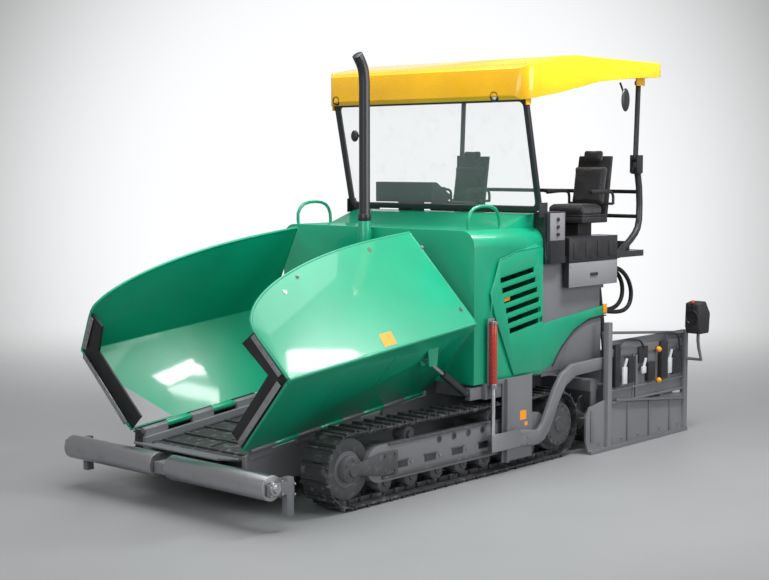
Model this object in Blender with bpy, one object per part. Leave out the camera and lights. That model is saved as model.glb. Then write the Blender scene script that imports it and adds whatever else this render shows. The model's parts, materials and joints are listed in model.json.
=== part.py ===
"""Tracked asphalt paver with an extending screed, as separate solid sub-parts.

Metres. Front is -Y, the machine's left side is +X, up is +Z, and the ground is z = 0.
Every left-hand piece is built at +X, and its right-hand twin is the mirror image.
"""
import math

import bmesh
import bpy
from mathutils import Matrix, Vector

FIT = 0.0003                      # gap between pieces that touch
RUN = 0.0006                      # gap beside a pin, a cheek or a sliding rod
SIDES = (("left", 1), ("right", -1))

# Tracks
TRACK_X = (0.900, 1.205)          # inner and outer face of the left track
TRACK_REAR_Y = 0.88               # sprocket axle
TRACK_FRONT_Y = -1.95             # idler axle
TRACK_R = 0.33                    # over the grousers
TRACK_LOOP = 0.055                # height of the links and shoes
GROUSER = 0.022
SHOE_PITCH = 0.1438
WHEEL_SIDES = 40

BRACKET_Z = (2 * TRACK_R + 0.040, 2 * TRACK_R + 0.180)   # beam over the track
WING_FOOT_X = 1.140               # foot of the wing cylinder on that beam

# Chassis
PLATE_X = (0.600, 0.640)          # chassis side plate
BELLY_Z = (0.220, 0.245)
CHASSIS_FRONT_Y = -2.62
WALL_Y = -0.40                    # front wall of the engine housing
CHASSIS_REAR_Y = 1.25
TUNNEL_TOP = 1.18
TUNNEL_ROOF = 0.03
DIVIDER = 0.03                    # half width of the wall between the two tunnels

# Hopper
SLOPE = 0.105                     # rise of hinge line, floor and crease per metre to the rear
HINGE = Vector((0.670, -2.55, 0.520))
FLOOR_DROP = 0.100                # floor below the hinge line
PLATE_DROP = 0.048                # side plate's edge below the hinge line
WING_T = 0.020
KNUCKLE_R = 0.028
KNUCKLES = 8
BALL_R = 0.036                    # ball end of a wing cylinder
LUG_RISE = 0.405                  # a wing cylinder's eye above the hinge line
CREASE_X = 1.285
CREASE_RISE = 0.665               # crease above the hinge line
RIM_X = 0.700
RIM_RISE = 1.467
WING_FRONT_Y = (-2.70, -2.76, -2.86)   # at the hinge, the crease and the nose
NOSE_RISE = 1.050                      # where the rounded top front corner starts
WING_REAR_Y = (-0.46, -0.50, -0.71)
FLAP_W = 0.180
FLAP_T = 0.018
APRON_HINGE_R = 0.0145

# Push rollers
ROLLER_Y, ROLLER_Z, ROLLER_R = -2.90, 0.350, 0.100
ROLLER_X = (0.085, 1.235)
BEAM_Y = (-2.780, -2.700)
BEAM_Z = (0.250, 0.385)
BEAM_PIVOT_Y = -2.665
PIVOT_TOP = 0.374

# Engine housing, tank housing and platform
HOUSE_X = 1.190
HOUSE_Z = (BRACKET_Z[1] + FIT, 2.200)
HOUSE_REAR_Y = 0.620
HOUSE_T = 0.025
TANK_X = HOUSE_X - 0.020
TANK_REAR_Y = 1.600
DECK_Z = (1.8603, 1.920)
DECK_X = HOUSE_X + 0.035
DECK_Y = (0.620, 2.300)
DOOR_T = 0.018
SEAT = (0.780, 1.780)
BOX_X = HOUSE_X + 0.060             # outer face of the lockers on the platform

# Hoses behind the platform, their middle lines in Y and Z
HOSE_R = 0.022
HOSE_X = (0.950, 0.890)             # outer and inner hose
HOSE_FROM = (2.040, 1.745)
HOSE_TO = (1.680, 1.340)
HOSE_LOOPS = ([(2.090, 1.745), (2.210, 1.732), (2.345, 1.682), (2.455, 1.590), (2.512, 1.468),
               (2.490, 1.352), (2.400, 1.290), (2.270, 1.276), (2.100, 1.290), (1.930, 1.315),
               (1.800, 1.336), (1.740, 1.340)],
              [(2.090, 1.745), (2.190, 1.732), (2.300, 1.690), (2.395, 1.610), (2.440, 1.510),
               (2.425, 1.408), (2.352, 1.338), (2.240, 1.306), (2.090, 1.304), (1.930, 1.320),
               (1.800, 1.336), (1.740, 1.340)])

# Canopy linkage
SCREEN_FOOT = Vector((0, 0.575, 2.368))
SCREEN_TILT = math.radians(12.6)
SCREEN_LENGTH = 1.030
SCREEN_HALF = HOUSE_X + 0.010
SCREEN_BAR = 0.050
SCREEN_CORNER = 0.070
SCREEN_CHEEK = (SCREEN_HALF + RUN, SCREEN_HALF + 0.0126)
POST_X = HOUSE_X - 0.070
POST_PIVOT = Vector((POST_X, 2.290, 2.830))
POST_TOP = Vector((POST_X, 2.325, 3.590))
POST_R = 0.030
ROOF_X = HOUSE_X + 0.060
ROOF_Y = (0.240, 2.645)
STACK = Vector((-0.030, -0.490, 2.260))
STACK_R = 0.052

# Tow arms and levelling
TOW_Y, TOW_Z = 0.120, 0.310
PIN_R = 0.028
GUIDE_T = 0.0137
GUIDE_X = max(TRACK_X[1] + 0.0085, HOUSE_X + 0.0235)     # inner face of the tow point's guide plate
GUIDE_X = (GUIDE_X, GUIDE_X + GUIDE_T)
ARM_T = 0.045
ARM_X = (GUIDE_X[1] + FIT, GUIDE_X[1] + FIT + ARM_T)
LEVEL_X, LEVEL_Y = ARM_X[0] + 0.025, -0.200
LEVEL_Z = (0.810, 1.400)
LEVEL_R = 0.033
LEVEL_ROD_R = 0.019
CLAMP_Z = (0.900, 1.330)           # feet of the levelling cylinder's clamps

# Screed
SCREED_X = GUIDE_X[1]
SCREED_Y = (1.70, 2.36)
EXT_Y = (2.52, 2.98)
GATE_X = (ARM_X[1] + 0.0175, ARM_X[1] + 0.0395)
SLIDE_BAR = ((2.380, 2.475), (0.620, 0.715), (0.480, 0.575))   # y, left bar's z, right bar's z
LIFT_X = TANK_X - 0.090
LIFT_TOP = Vector((LIFT_X, 1.690, 1.620))
LIFT_FOOT = Vector((LIFT_X, 1.850, 0.780))
AUGER_Y, AUGER_Z, AUGER_R = 1.450, 0.320, 0.200
HANGER_X = (SCREED_X - 0.0322, SCREED_X - 0.0122)
AUGER_X = (0.0806, HANGER_X[0] - RUN)
AUGER_PITCH = 0.300

GREEN = ("green_paint", (0.0, 0.42, 0.24, 1), 0.3, 0.0)
GREY = ("grey_paint", (0.11, 0.11, 0.12, 1), 0.5, 0.2)
BLACK = ("black_paint", (0.02, 0.02, 0.022, 1), 0.4, 0.0)
YELLOW = ("yellow_paint", (1.0, 0.58, 0.01, 1), 0.35, 0.0)
RED = ("red_paint", (0.5, 0.03, 0.02, 1), 0.35, 0.0)
STEEL = ("steel", (0.55, 0.55, 0.56, 1), 0.35, 0.9)
WORN = ("worn_steel", (0.16, 0.16, 0.165, 1), 0.5, 0.8)
RUBBER = ("rubber", (0.02, 0.02, 0.02, 1), 0.8, 0.0)
PLASTIC = ("dark_plastic", (0.03, 0.03, 0.033, 1), 0.55, 0.0)
FABRIC = ("seat_fabric", (0.03, 0.03, 0.033, 1), 0.9, 0.0)
GLASS = ("clear_glass", (0.6, 0.68, 0.7, 0.35), 0.05, 0.0)


def clear_scene():
    for item in list(bpy.data.objects):
        bpy.data.objects.remove(item, do_unlink=True)


def finish_of(finish):
    name, colour, roughness, metallic = finish
    known = bpy.data.materials.get(name)
    if known:
        return known
    made = bpy.data.materials.new(name)
    made.use_nodes = True
    shader = made.node_tree.nodes["Principled BSDF"]
    shader.inputs["Base Color"].default_value = colour
    shader.inputs["Roughness"].default_value = roughness
    shader.inputs["Metallic"].default_value = metallic
    return made


# ---- single solids ----

def solid(shape):
    """A new object that holds one closed bmesh, its faces pointing out."""
    bmesh.ops.recalc_face_normals(shape, faces=shape.faces)
    data = bpy.data.meshes.new("solid")
    shape.to_mesh(data)
    shape.free()
    item = bpy.data.objects.new("solid", data)
    bpy.context.collection.objects.link(item)
    return item


def box(low, high):
    shape = bmesh.new()
    bmesh.ops.create_cube(shape, size=1)
    low, high = Vector(low), Vector(high)
    size = high - low
    bmesh.ops.scale(shape, vec=size, verts=shape.verts)
    bmesh.ops.translate(shape, vec=(low + high) / 2, verts=shape.verts)
    return solid(shape)


def rod(start, end, radius, sides=20, end_radius=None):
    """A round bar between two points."""
    start, end = Vector(start), Vector(end)
    along = end - start
    shape = bmesh.new()
    far = radius if end_radius is None else end_radius
    bmesh.ops.create_cone(shape, cap_ends=True, segments=sides, radius1=radius, radius2=far,
                          depth=along.length)
    turn = Vector((0, 0, 1)).rotation_difference(along).to_matrix().to_4x4()
    bmesh.ops.transform(shape, matrix=Matrix.Translation((start + end) / 2) @ turn, verts=shape.verts)
    return solid(shape)


def ball(centre, radius):
    shape = bmesh.new()
    bmesh.ops.create_uvsphere(shape, u_segments=12, v_segments=6, radius=radius)
    bmesh.ops.translate(shape, vec=centre, verts=shape.verts)
    return solid(shape)


def plate(corners, push):
    """A flat plate: a loop of corners pushed along a vector."""
    shape = bmesh.new()
    face = shape.faces.new([shape.verts.new(corner) for corner in corners])
    pushed = bmesh.ops.extrude_face_region(shape, geom=[face])
    moved = [item for item in pushed["geom"] if isinstance(item, bmesh.types.BMVert)]
    bmesh.ops.translate(shape, vec=push, verts=moved)
    return solid(shape)


def sheet(corners, thickness):
    """A flat plate whose middle plane passes through its corners."""
    corners = [Vector(corner) for corner in corners]
    normal = (corners[1] - corners[0]).cross(corners[2] - corners[0]).normalized()
    half = normal * (thickness / 2)
    return plate([corner - half for corner in corners], half * 2)


def prism(axis, outline, low, high):
    """An outline in the two other axes, in X, Y, Z order, pushed from low to high along one axis."""
    place = {"x": lambda a, b: (low, a, b), "y": lambda a, b: (a, low, b), "z": lambda a, b: (a, b, low)}
    push = {"x": (high - low, 0, 0), "y": (0, high - low, 0), "z": (0, 0, high - low)}
    return plate([place[axis](a, b) for a, b in outline], push[axis])


def tube(points, radius, sides=8):
    """A round bar along a line of points."""
    line = bpy.data.curves.new("line", "CURVE")
    line.dimensions = "3D"
    line.bevel_depth = radius
    line.bevel_resolution = (sides - 4) // 2
    line.use_fill_caps = True
    spline = line.splines.new("POLY")
    spline.points.add(len(points) - 1)
    for point, place in zip(spline.points, points):
        point.co = (*place, 1)
    curve = bpy.data.objects.new("line", line)
    bpy.context.collection.objects.link(curve)
    shape = bmesh.new()
    data = bpy.data.meshes.new_from_object(curve.evaluated_get(bpy.context.evaluated_depsgraph_get()))
    shape.from_mesh(data)
    bmesh.ops.remove_doubles(shape, verts=shape.verts, dist=0.0001)
    bpy.data.objects.remove(curve, do_unlink=True)
    return solid(shape)


def smooth_path(points, steps=5):
    """Points on a smooth curve through the given ones."""
    points = [Vector(point) for point in points]
    ends = [points[0] * 2 - points[1]] + points + [points[-1] * 2 - points[-2]]
    path = []
    for before, here, there, after in zip(ends, ends[1:], ends[2:], ends[3:]):
        for step in range(steps):
            t = step / steps
            path.append(0.5 * (2 * here + (there - before) * t
                               + (2 * before - 5 * here + 4 * there - after) * t ** 2
                               + (3 * here - before - 3 * there + after) * t ** 3))
    return path + [points[-1]]


def arc(centre, radius, start, stop, steps):
    """Points on an arc in a plane, angles in degrees."""
    angles = [math.radians(start + (stop - start) * step / steps) for step in range(steps + 1)]
    return [(centre[0] + radius * math.cos(a), centre[1] + radius * math.sin(a)) for a in angles]


def rounded(low, high, radius, steps=4):
    """The outline of a rectangle with round corners."""
    inner = ((high[0] - radius, high[1] - radius, 0), (low[0] + radius, high[1] - radius, 90),
             (low[0] + radius, low[1] + radius, 180), (high[0] - radius, low[1] + radius, 270))
    return [point for a, b, start in inner for point in arc((a, b), radius, start, start + 90, steps)]


def stadium(front, rear, centre_z, radius, steps=10):
    """The outline of two half circles joined by straight lines, in Y and Z."""
    return (arc((rear, centre_z), radius, -90, 90, steps)
            + arc((front, centre_z), radius, 90, 270, steps))


# ---- joining solids ----

def boolean(body, tools, operation):
    if not tools:
        return
    group = bpy.data.collections.new("tools")
    for tool in tools:
        group.objects.link(tool)
    change = body.modifiers.new("join", "BOOLEAN")
    change.operation = operation
    change.solver = "EXACT"
    change.operand_type = "COLLECTION"
    change.collection = group
    data = bpy.data.meshes.new_from_object(body.evaluated_get(bpy.context.evaluated_depsgraph_get()))
    body.modifiers.clear()
    body.data = data
    for tool in tools:
        bpy.data.objects.remove(tool, do_unlink=True)
    bpy.data.collections.remove(group)


def part(name, finish, pieces, cuts=(), pivot=(0, 0, 0), side=1, keep=()):
    """One named body: its pieces joined, its cuts removed, its origin on the pivot."""
    body, *others = pieces
    boolean(body, others, "UNION")
    for tool in keep:
        boolean(body, [tool], "INTERSECT")
    boolean(body, list(cuts), "DIFFERENCE")
    mirror = Matrix.Diagonal((side, 1, 1, 1))
    body.data.transform(mirror)
    if side < 0:
        body.data.flip_normals()
    pivot = mirror @ Vector(pivot)
    body.data.transform(Matrix.Translation(-pivot))
    body.location = pivot
    body.name = name
    body.data.name = name
    body.data.materials.clear()
    body.data.materials.append(finish_of(finish))
    for face in body.data.polygons:
        face.material_index = 0
    body.data.shade_smooth()
    body.data.set_sharp_from_angle(angle=math.radians(35))
    return body


# ---- shared places ----

def hinge_z(y):
    return HINGE.z + SLOPE * (y - HINGE.y)


def floor_z(y):
    return hinge_z(y) - FLOOR_DROP


def sloped(x, y, rise):
    """A point given by its height above the hinge line."""
    return Vector((x, y, hinge_z(y) + rise))


def cheeks(x, half_gap, thickness, y, z):
    """Two upright plates either side of x."""
    near = x - half_gap
    far = x + half_gap
    return [box((near - thickness, y[0], z[0]), (near, y[1], z[1])),
            box((far, y[0], z[0]), (far + thickness, y[1], z[1]))]


# ---- tracks ----

def shoe_outline():
    """The track's outer edge: one shoe and grouser after another round the loop."""
    base = TRACK_R - GROUSER
    straight = TRACK_REAR_Y - TRACK_FRONT_Y
    turn = math.pi * base
    length = 2 * straight + 2 * turn
    count = round(length / SHOE_PITCH)

    def edge(distance, radius):
        distance %= length
        if distance < straight:
            return (TRACK_FRONT_Y + distance, TRACK_R - radius)
        distance -= straight
        if distance < turn:
            angle = distance / base - math.pi / 2
            return (TRACK_REAR_Y + radius * math.cos(angle), TRACK_R + radius * math.sin(angle))
        distance -= turn
        if distance < straight:
            return (TRACK_REAR_Y - distance, TRACK_R + radius)
        angle = (distance - straight) / base + math.pi / 2
        return (TRACK_FRONT_Y + radius * math.cos(angle), TRACK_R + radius * math.sin(angle))

    outline = []
    for shoe in range(count):
        for share, radius in ((0.04, base), (0.22, TRACK_R), (0.78, TRACK_R), (0.96, base)):
            outline.append(edge((shoe + share) * length / count, radius))
    return outline


def add_track(name, side):
    inner = TRACK_R - TRACK_LOOP - GROUSER
    loop = prism("x", shoe_outline(), *TRACK_X)
    inside = prism("x", stadium(TRACK_FRONT_Y, TRACK_REAR_Y, TRACK_R, inner, WHEEL_SIDES // 2),
                   TRACK_X[0] - 0.1, TRACK_X[1] + 0.1)
    part(f"{name}_track", WORN, [loop], [inside], side=side)


def add_track_frame(name, side):
    inner = TRACK_R - TRACK_LOOP - GROUSER
    reach = inner * math.cos(math.pi / WHEEL_SIDES) - FIT
    low, high = TRACK_R - inner + FIT, TRACK_R + inner - FIT
    wheel_x = (0.985, 1.120)
    middle = TRACK_R
    pieces = [box((1.000, TRACK_FRONT_Y + 0.20, middle - 0.125),
                  (1.105, TRACK_REAR_Y - 0.20, middle + 0.125)),
              prism("x", stadium(TRACK_FRONT_Y + 0.32, TRACK_REAR_Y - 0.34, TRACK_R, 0.155), 1.104, 1.180),
              box((1.020, TRACK_FRONT_Y, middle - 0.060), (1.085, TRACK_REAR_Y, middle + 0.060)),
              rod((wheel_x[0], TRACK_FRONT_Y, TRACK_R), (wheel_x[1], TRACK_FRONT_Y, TRACK_R),
                  reach, WHEEL_SIDES),
              rod((wheel_x[0], TRACK_REAR_Y, TRACK_R), (wheel_x[1], TRACK_REAR_Y, TRACK_R),
                  reach, WHEEL_SIDES),
              rod((1.119, TRACK_FRONT_Y, TRACK_R), (1.185, TRACK_FRONT_Y, TRACK_R), 0.110, 16),
              rod((1.119, TRACK_REAR_Y, TRACK_R), (1.2055, TRACK_REAR_Y, TRACK_R), inner - 0.053, 20)]
    for index in range(7):
        y = TRACK_FRONT_Y + 0.42 + index * 0.335
        pieces.append(rod((1.001, y, low + 0.085), (1.150, y, low + 0.085), 0.085, 12))
    for y in (TRACK_FRONT_Y + 0.75, TRACK_REAR_Y - 0.95):
        pieces.append(rod((1.001, y, high - 0.070), (1.120, y, high - 0.070), 0.070, 12))
    part(f"{name}_track_frame", GREY, pieces, side=side)


# ---- chassis, conveyor, augers' box ----

def side_plate():
    front, rear = CHASSIS_FRONT_Y, CHASSIS_REAR_Y
    top = PLATE_DROP
    outline = [(front, BELLY_Z[0]), (rear, BELLY_Z[0]), (rear, TUNNEL_TOP), (WALL_Y, TUNNEL_TOP),
               (WALL_Y, hinge_z(WALL_Y) - top), (front, hinge_z(front) - top)]
    return prism("x", outline, *PLATE_X)


def hinge_stations():
    """Both ends of each knuckle along the hinge line."""
    first, last = -2.60, -0.50
    pitch = (last - first) / KNUCKLES
    return [(first + index * pitch, first + (index + 1) * pitch - RUN) for index in range(KNUCKLES)]


def add_chassis():
    inner, outer = PLATE_X
    out = inner + 0.01
    pieces = [box((-out, CHASSIS_FRONT_Y + 0.02, BELLY_Z[0]), (out, CHASSIS_REAR_Y, BELLY_Z[1])),
              box((-out, WALL_Y, TUNNEL_TOP - TUNNEL_ROOF), (out, CHASSIS_REAR_Y, TUNNEL_TOP)),
              prism("x", [(WALL_Y, floor_z(WALL_Y) + FIT), (CHASSIS_REAR_Y, floor_z(CHASSIS_REAR_Y) + FIT),
                          (CHASSIS_REAR_Y, TUNNEL_TOP - 0.01), (WALL_Y, TUNNEL_TOP - 0.01)],
                    -DIVIDER, DIVIDER),
              box((-0.300, -2.640, 0.235), (0.300, CHASSIS_FRONT_Y + 0.05, PIVOT_TOP)),
              rod((0, BEAM_PIVOT_Y, 0.245), (0, BEAM_PIVOT_Y, PIVOT_TOP), 0.030, 12)]
    for place in (1, -1):
        plate_piece = side_plate()
        plate_piece.data.transform(Matrix.Diagonal((place, 1, 1, 1)))
        if place < 0:
            plate_piece.data.flip_normals()
        pieces.append(plate_piece)
        for y in (-1.30, 0.10):
            ends = sorted((place * 0.590, place * 0.9997))
            pieces.append(box((ends[0], y - 0.09, TRACK_R - 0.080), (ends[1], y + 0.09, TRACK_R + 0.090)))
        pieces += bracket_over_track(place)
        for start, stop in hinge_stations()[::2]:
            low, high = sloped(HINGE.x * place, start, 0), sloped(HINGE.x * place, stop, 0)
            pieces.append(rod(low, high, KNUCKLE_R, 12))
            first, last = start + 0.010, stop - 0.010
            x = 0.630 * place
            web = [(x, last, hinge_z(last) - 0.080), (x, first, hinge_z(first) - 0.080),
                   (x, first, hinge_z(first) + 0.012), (x, last, hinge_z(last) + 0.012)]
            pieces.append(plate(web, (0.036 * place, 0, 0)))
    for y in (-2.40, -1.50, -0.60, 0.40, 1.15):
        under = floor_z(y - 0.03) - 0.0305
        pieces.append(box((-inner - 0.01, y - 0.03, 0.23), (inner + 0.01, y + 0.03, under)))
    part("chassis_frame", GREY, pieces)


def bracket_over_track(place):
    """Beam above the track that carries the housing's side and the tow guide."""
    near, far = PLATE_X[0] + 0.01, GUIDE_X[0] - FIT
    ends = sorted((near * place, far * place))
    low, high = BRACKET_Z
    beam = box((ends[0], -0.260, low), (ends[1], 0.400, high))
    foot = wing_cylinder_foot()
    stop = box((foot.x * place - 0.030, foot.y + BALL_R + RUN, low + 0.005),
               (foot.x * place + 0.030, -0.250, high - 0.025))
    return [beam, stop]


def add_tow_guide(name, side):
    """Upright guide plate beside the track, with the rail that the tow point rides on."""
    x = GUIDE_X
    pieces = [box((x[0], -0.030, 0.100), (x[1], 0.420, 0.860)),
              box((x[0], LEVEL_Y - 0.045, 0.820), (x[1], LEVEL_Y + 0.045, 1.420)),
              box((x[0], LEVEL_Y - 0.045, 0.820), (x[1], 0.010, 0.860)),
              box((x[0], 0.000, 0.100), (ARM_X[1] - 0.010, 0.030, 0.860))]
    for z in CLAMP_Z:
        pieces.append(box((x[0], LEVEL_Y - 0.045, z), (LEVEL_X - 0.036, LEVEL_Y + 0.045, z + 0.05)))
    part(f"{name}_tow_guide", GREY, pieces, side=side)


def add_auger_beam():
    """Box of the auger drive, its beam, and the hangers at its outer ends."""
    low = AUGER_Z + AUGER_R + 0.060
    end = HANGER_X[1]
    pieces = [box((-0.080, AUGER_Y - 0.070, AUGER_Z - 0.130), (0.080, AUGER_Y + 0.070, low + 0.05)),
              box((-end, AUGER_Y - 0.060, low), (end, AUGER_Y + 0.060, low + 0.110))]
    for place in (1, -1):
        hanger = sorted((HANGER_X[0] * place, end * place))
        pieces.append(box((hanger[0], AUGER_Y - 0.045, AUGER_Z - 0.060),
                          (hanger[1], AUGER_Y + 0.045, low + 0.01)))
        arm = sorted((PLATE_X[0] * place, PLATE_X[1] * place))
        pieces.append(box((arm[0], CHASSIS_REAR_Y + FIT, low), (arm[1], AUGER_Y, low + 0.110)))
    part("auger_beam", GREY, pieces)


def add_conveyor():
    front, rear = CHASSIS_FRONT_Y + 0.06, CHASSIS_REAR_Y
    outline = [(front, floor_z(front) - 0.030), (rear, floor_z(rear) - 0.030), (rear, floor_z(rear)),
               (front, floor_z(front))]
    half = PLATE_X[0] - FIT
    part("conveyor_floor", WORN, [prism("x", outline, -half, half)])


def add_auger(name, side):
    """A shaft with one screw flight."""
    shape = bmesh.new()
    steps_per_turn = 12
    shaft_r, thick = 0.045, 0.016
    start, stop = AUGER_X[0] + 0.02, AUGER_X[1] - 0.02
    turns = (stop - start) / AUGER_PITCH
    steps = int(turns * steps_per_turn)
    rings = []
    for step in range(steps + 1):
        angle = 2 * math.pi * turns * step / steps
        x = start + (stop - start - thick) * step / steps
        out = Vector((0, math.cos(angle), math.sin(angle)))
        centre = Vector((0, AUGER_Y, AUGER_Z))
        corners = ((x, shaft_r - 0.012), (x, AUGER_R), (x + thick, AUGER_R), (x + thick, shaft_r - 0.012))
        rings.append([shape.verts.new(centre + Vector((a, 0, 0)) + out * r) for a, r in corners])
    for ring, after in zip(rings, rings[1:]):
        for k in range(4):
            shape.faces.new((ring[k], ring[(k + 1) % 4], after[(k + 1) % 4], after[k]))
    shape.faces.new(rings[0])
    shape.faces.new(rings[-1])
    flight = solid(shape)
    shaft = rod((AUGER_X[0], AUGER_Y, AUGER_Z), (AUGER_X[1], AUGER_Y, AUGER_Z), shaft_r, 12)
    part(f"{name}_auger", STEEL, [shaft, flight], pivot=(AUGER_X[0], AUGER_Y, AUGER_Z), side=side)


# ---- hopper ----

def wing_panels(extra=0.0, ahead=0.0):
    """Lower and upper panel of the left wing, optionally thicker and longer, as a cutter."""
    run = Vector((CREASE_X - HINGE.x, CREASE_RISE)).normalized()
    start = (HINGE.x + run.x * (KNUCKLE_R + 0.010), run.y * (KNUCKLE_R + 0.010))
    lower = [sloped(start[0], WING_FRONT_Y[0] - ahead, start[1]),
             sloped(CREASE_X, WING_FRONT_Y[1] - ahead, CREASE_RISE),
             sloped(CREASE_X, WING_REAR_Y[1], CREASE_RISE),
             sloped(start[0], WING_REAR_Y[0], start[1])]
    lean = (RIM_X - CREASE_X) / (RIM_RISE - CREASE_RISE)

    def upper_point(y, rise):
        return sloped(CREASE_X + lean * (rise - CREASE_RISE), y, rise)

    upper = [upper_point(WING_REAR_Y[1], CREASE_RISE), upper_point(WING_REAR_Y[2], RIM_RISE)]
    steps = 8
    for step in range(steps + 1):
        share = step / steps
        y = -1.10 + (WING_FRONT_Y[2] - ahead + 1.10) * math.sin(share * math.pi / 2)
        upper.append(upper_point(y, NOSE_RISE + (RIM_RISE - NOSE_RISE) * math.cos(share * math.pi / 2)))
    upper.append(upper_point(WING_FRONT_Y[1] - ahead, CREASE_RISE))
    crease = (sloped(CREASE_X, WING_FRONT_Y[1] - ahead, CREASE_RISE),
              sloped(CREASE_X, WING_REAR_Y[1], CREASE_RISE))
    thick = WING_T + extra
    return [sheet(lower, thick), sheet(upper, thick), rod(*crease, thick / 2 + 0.004, 12)]


def wing_cylinder_foot():
    """Ball of the wing cylinder in front of the engine housing."""
    return Vector((WING_FOOT_X, WALL_Y - 0.060, BRACKET_Z[0] + 0.075))


def wing_lug_place():
    """Eye of the wing cylinder under the lower panel."""
    return sloped(1.120, -0.930, LUG_RISE)


def add_wing(name, side):
    pieces = wing_panels()
    run = Vector((CREASE_X - HINGE.x, 0, CREASE_RISE)).normalized()
    for start, stop in hinge_stations()[1::2]:
        low, high = sloped(HINGE.x, start, 0), sloped(HINGE.x, stop, 0)
        pieces.append(rod(low, high, KNUCKLE_R, 12))
        low, high = sloped(HINGE.x, start + 0.012, 0), sloped(HINGE.x, stop - 0.012, 0)
        pieces.append(sheet([low, high, high + run * 0.070, low + run * 0.070], 0.012))
    eye = wing_lug_place()
    steep = CREASE_RISE / (CREASE_X - HINGE.x)
    for shift in (-0.044, 0.044):
        centre = eye + Vector((shift, 0, 0))
        top = steep * (centre.x - HINGE.x) - LUG_RISE
        corners = [centre + Vector((0, -0.05, -0.028)), centre + Vector((0, 0.05, -0.028)),
                   centre + Vector((0, 0.07, top + 0.007)), centre + Vector((0, -0.07, top - 0.007))]
        pieces.append(sheet(corners, 0.012))
    part(f"{name}_wing", GREEN, pieces, pivot=sloped(HINGE.x, HINGE.y, 0), side=side)


def add_wing_flap(name, side):
    """Rubber flap across the front edge of a wing, reaching inwards."""
    lower_run = Vector((CREASE_X - HINGE.x, CREASE_RISE)).normalized()
    lean = (RIM_X - CREASE_X) / (RIM_RISE - CREASE_RISE)
    tip_rise = NOSE_RISE - 0.015
    tip_x = CREASE_X + lean * (tip_rise - CREASE_RISE)
    upper_run = Vector((tip_x - CREASE_X, tip_rise - CREASE_RISE)).normalized()
    bisector = (upper_run - lower_run).normalized()
    miter = FLAP_W / abs(lower_run.cross(bisector))
    start = (HINGE.x + 0.03, 0.032)
    inward = Vector((-lower_run.y, lower_run.x))
    upper_inward = Vector((-upper_run.y, upper_run.x))
    crease_in = Vector((CREASE_X, CREASE_RISE)) + bisector * miter
    start_in = Vector(start) + inward * FLAP_W
    tip_in = Vector((tip_x, tip_rise)) + upper_inward * FLAP_W
    y0, y1, y2 = (y + 0.012 for y in WING_FRONT_Y)
    lower = [sloped(start[0], y0, start[1]), sloped(CREASE_X, y1, CREASE_RISE),
             sloped(crease_in.x, y1, crease_in.y), sloped(start_in.x, y0, start_in.y)]
    upper = [sloped(CREASE_X, y1, CREASE_RISE), sloped(tip_x, y2, tip_rise),
             sloped(tip_in.x, y2, tip_in.y), sloped(crease_in.x, y1, crease_in.y)]
    pieces = [sheet(lower, FLAP_T), sheet(upper, FLAP_T)]
    part(f"{name}_wing_flap", RUBBER, pieces, wing_panels(2 * FIT, 0.1), sloped(HINGE.x, HINGE.y, 0), side)


def add_wing_cylinder(name, side):
    foot = wing_cylinder_foot()
    eye = wing_lug_place()
    along = (eye - foot).normalized()
    length = (eye - foot).length
    mouth = foot + along * (length * 0.62)
    inside = foot + along * 0.09
    barrel = [ball(foot, BALL_R), rod(foot, mouth, 0.034, 16)]
    bore = rod(inside, mouth + along * 0.01, 0.0184, 16)
    part(f"{name}_wing_barrel", BLACK, barrel, [bore], foot, side)
    shaft = [rod(inside + along * 0.13, eye, 0.0178, 16), ball(eye, 0.0295)]
    part(f"{name}_wing_rod", STEEL, shaft, (), eye, side)


def add_apron():
    hinge_y = CHASSIS_FRONT_Y + 0.060 - APRON_HINGE_R - RUN
    z = floor_z(hinge_y) - 0.005
    half = 0.520
    reach, lift = 0.225, 0.045
    corners = [(-half, hinge_y, z), (half, hinge_y, z),
               (half, hinge_y - reach, z + lift), (-half, hinge_y - reach, z + lift)]
    pieces = [sheet(corners, 0.014), rod((-half, hinge_y, z), (half, hinge_y, z), APRON_HINGE_R, 16),
              rod((-half, hinge_y - reach, z + lift), (half, hinge_y - reach, z + lift), 0.012, 12)]
    part("front_apron", GREY, pieces, pivot=(0, hinge_y, z))


# ---- push beam and rollers ----

def add_push_beam():
    end = ROLLER_X[1] + 0.040
    pieces = [box((-end, BEAM_Y[0], BEAM_Z[0]), (end, BEAM_Y[1], BEAM_Z[1])),
              box((-0.075, ROLLER_Y - 0.060, 0.290), (0.075, BEAM_Y[0] + 0.01, BEAM_Z[1])),
              box((-0.080, BEAM_Y[0] + 0.01, PIVOT_TOP + RUN),
                  (0.080, BEAM_PIVOT_Y + 0.045, PIVOT_TOP + 0.024))]
    for place in (1, -1):
        bracket = sorted(((ROLLER_X[1] + 0.005) * place, end * place))
        pieces.append(box((bracket[0], ROLLER_Y - 0.060, 0.290), (bracket[1], BEAM_Y[0] + 0.01, BEAM_Z[1])))
        post = sorted(((end - 0.060) * place, end * place))
        pieces.append(box((post[0], BEAM_Y[0] + 0.005, 0.120),
                          (post[1], BEAM_Y[1] - 0.005, BEAM_Z[1] + 0.030)))
    part("push_beam", GREY, pieces, pivot=(0, BEAM_PIVOT_Y, ROLLER_Z))


def add_hose(name, x, loop):
    path = [(x, *HOSE_FROM)] + smooth_path([(x, *point) for point in loop], 2) + [(x, *HOSE_TO)]
    path[0], path[-1] = (x, HOSE_FROM[0] + FIT, HOSE_FROM[1]), (x, HOSE_TO[0] + FIT, HOSE_TO[1])
    part(name, RUBBER, [tube(path, HOSE_R)])


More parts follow.
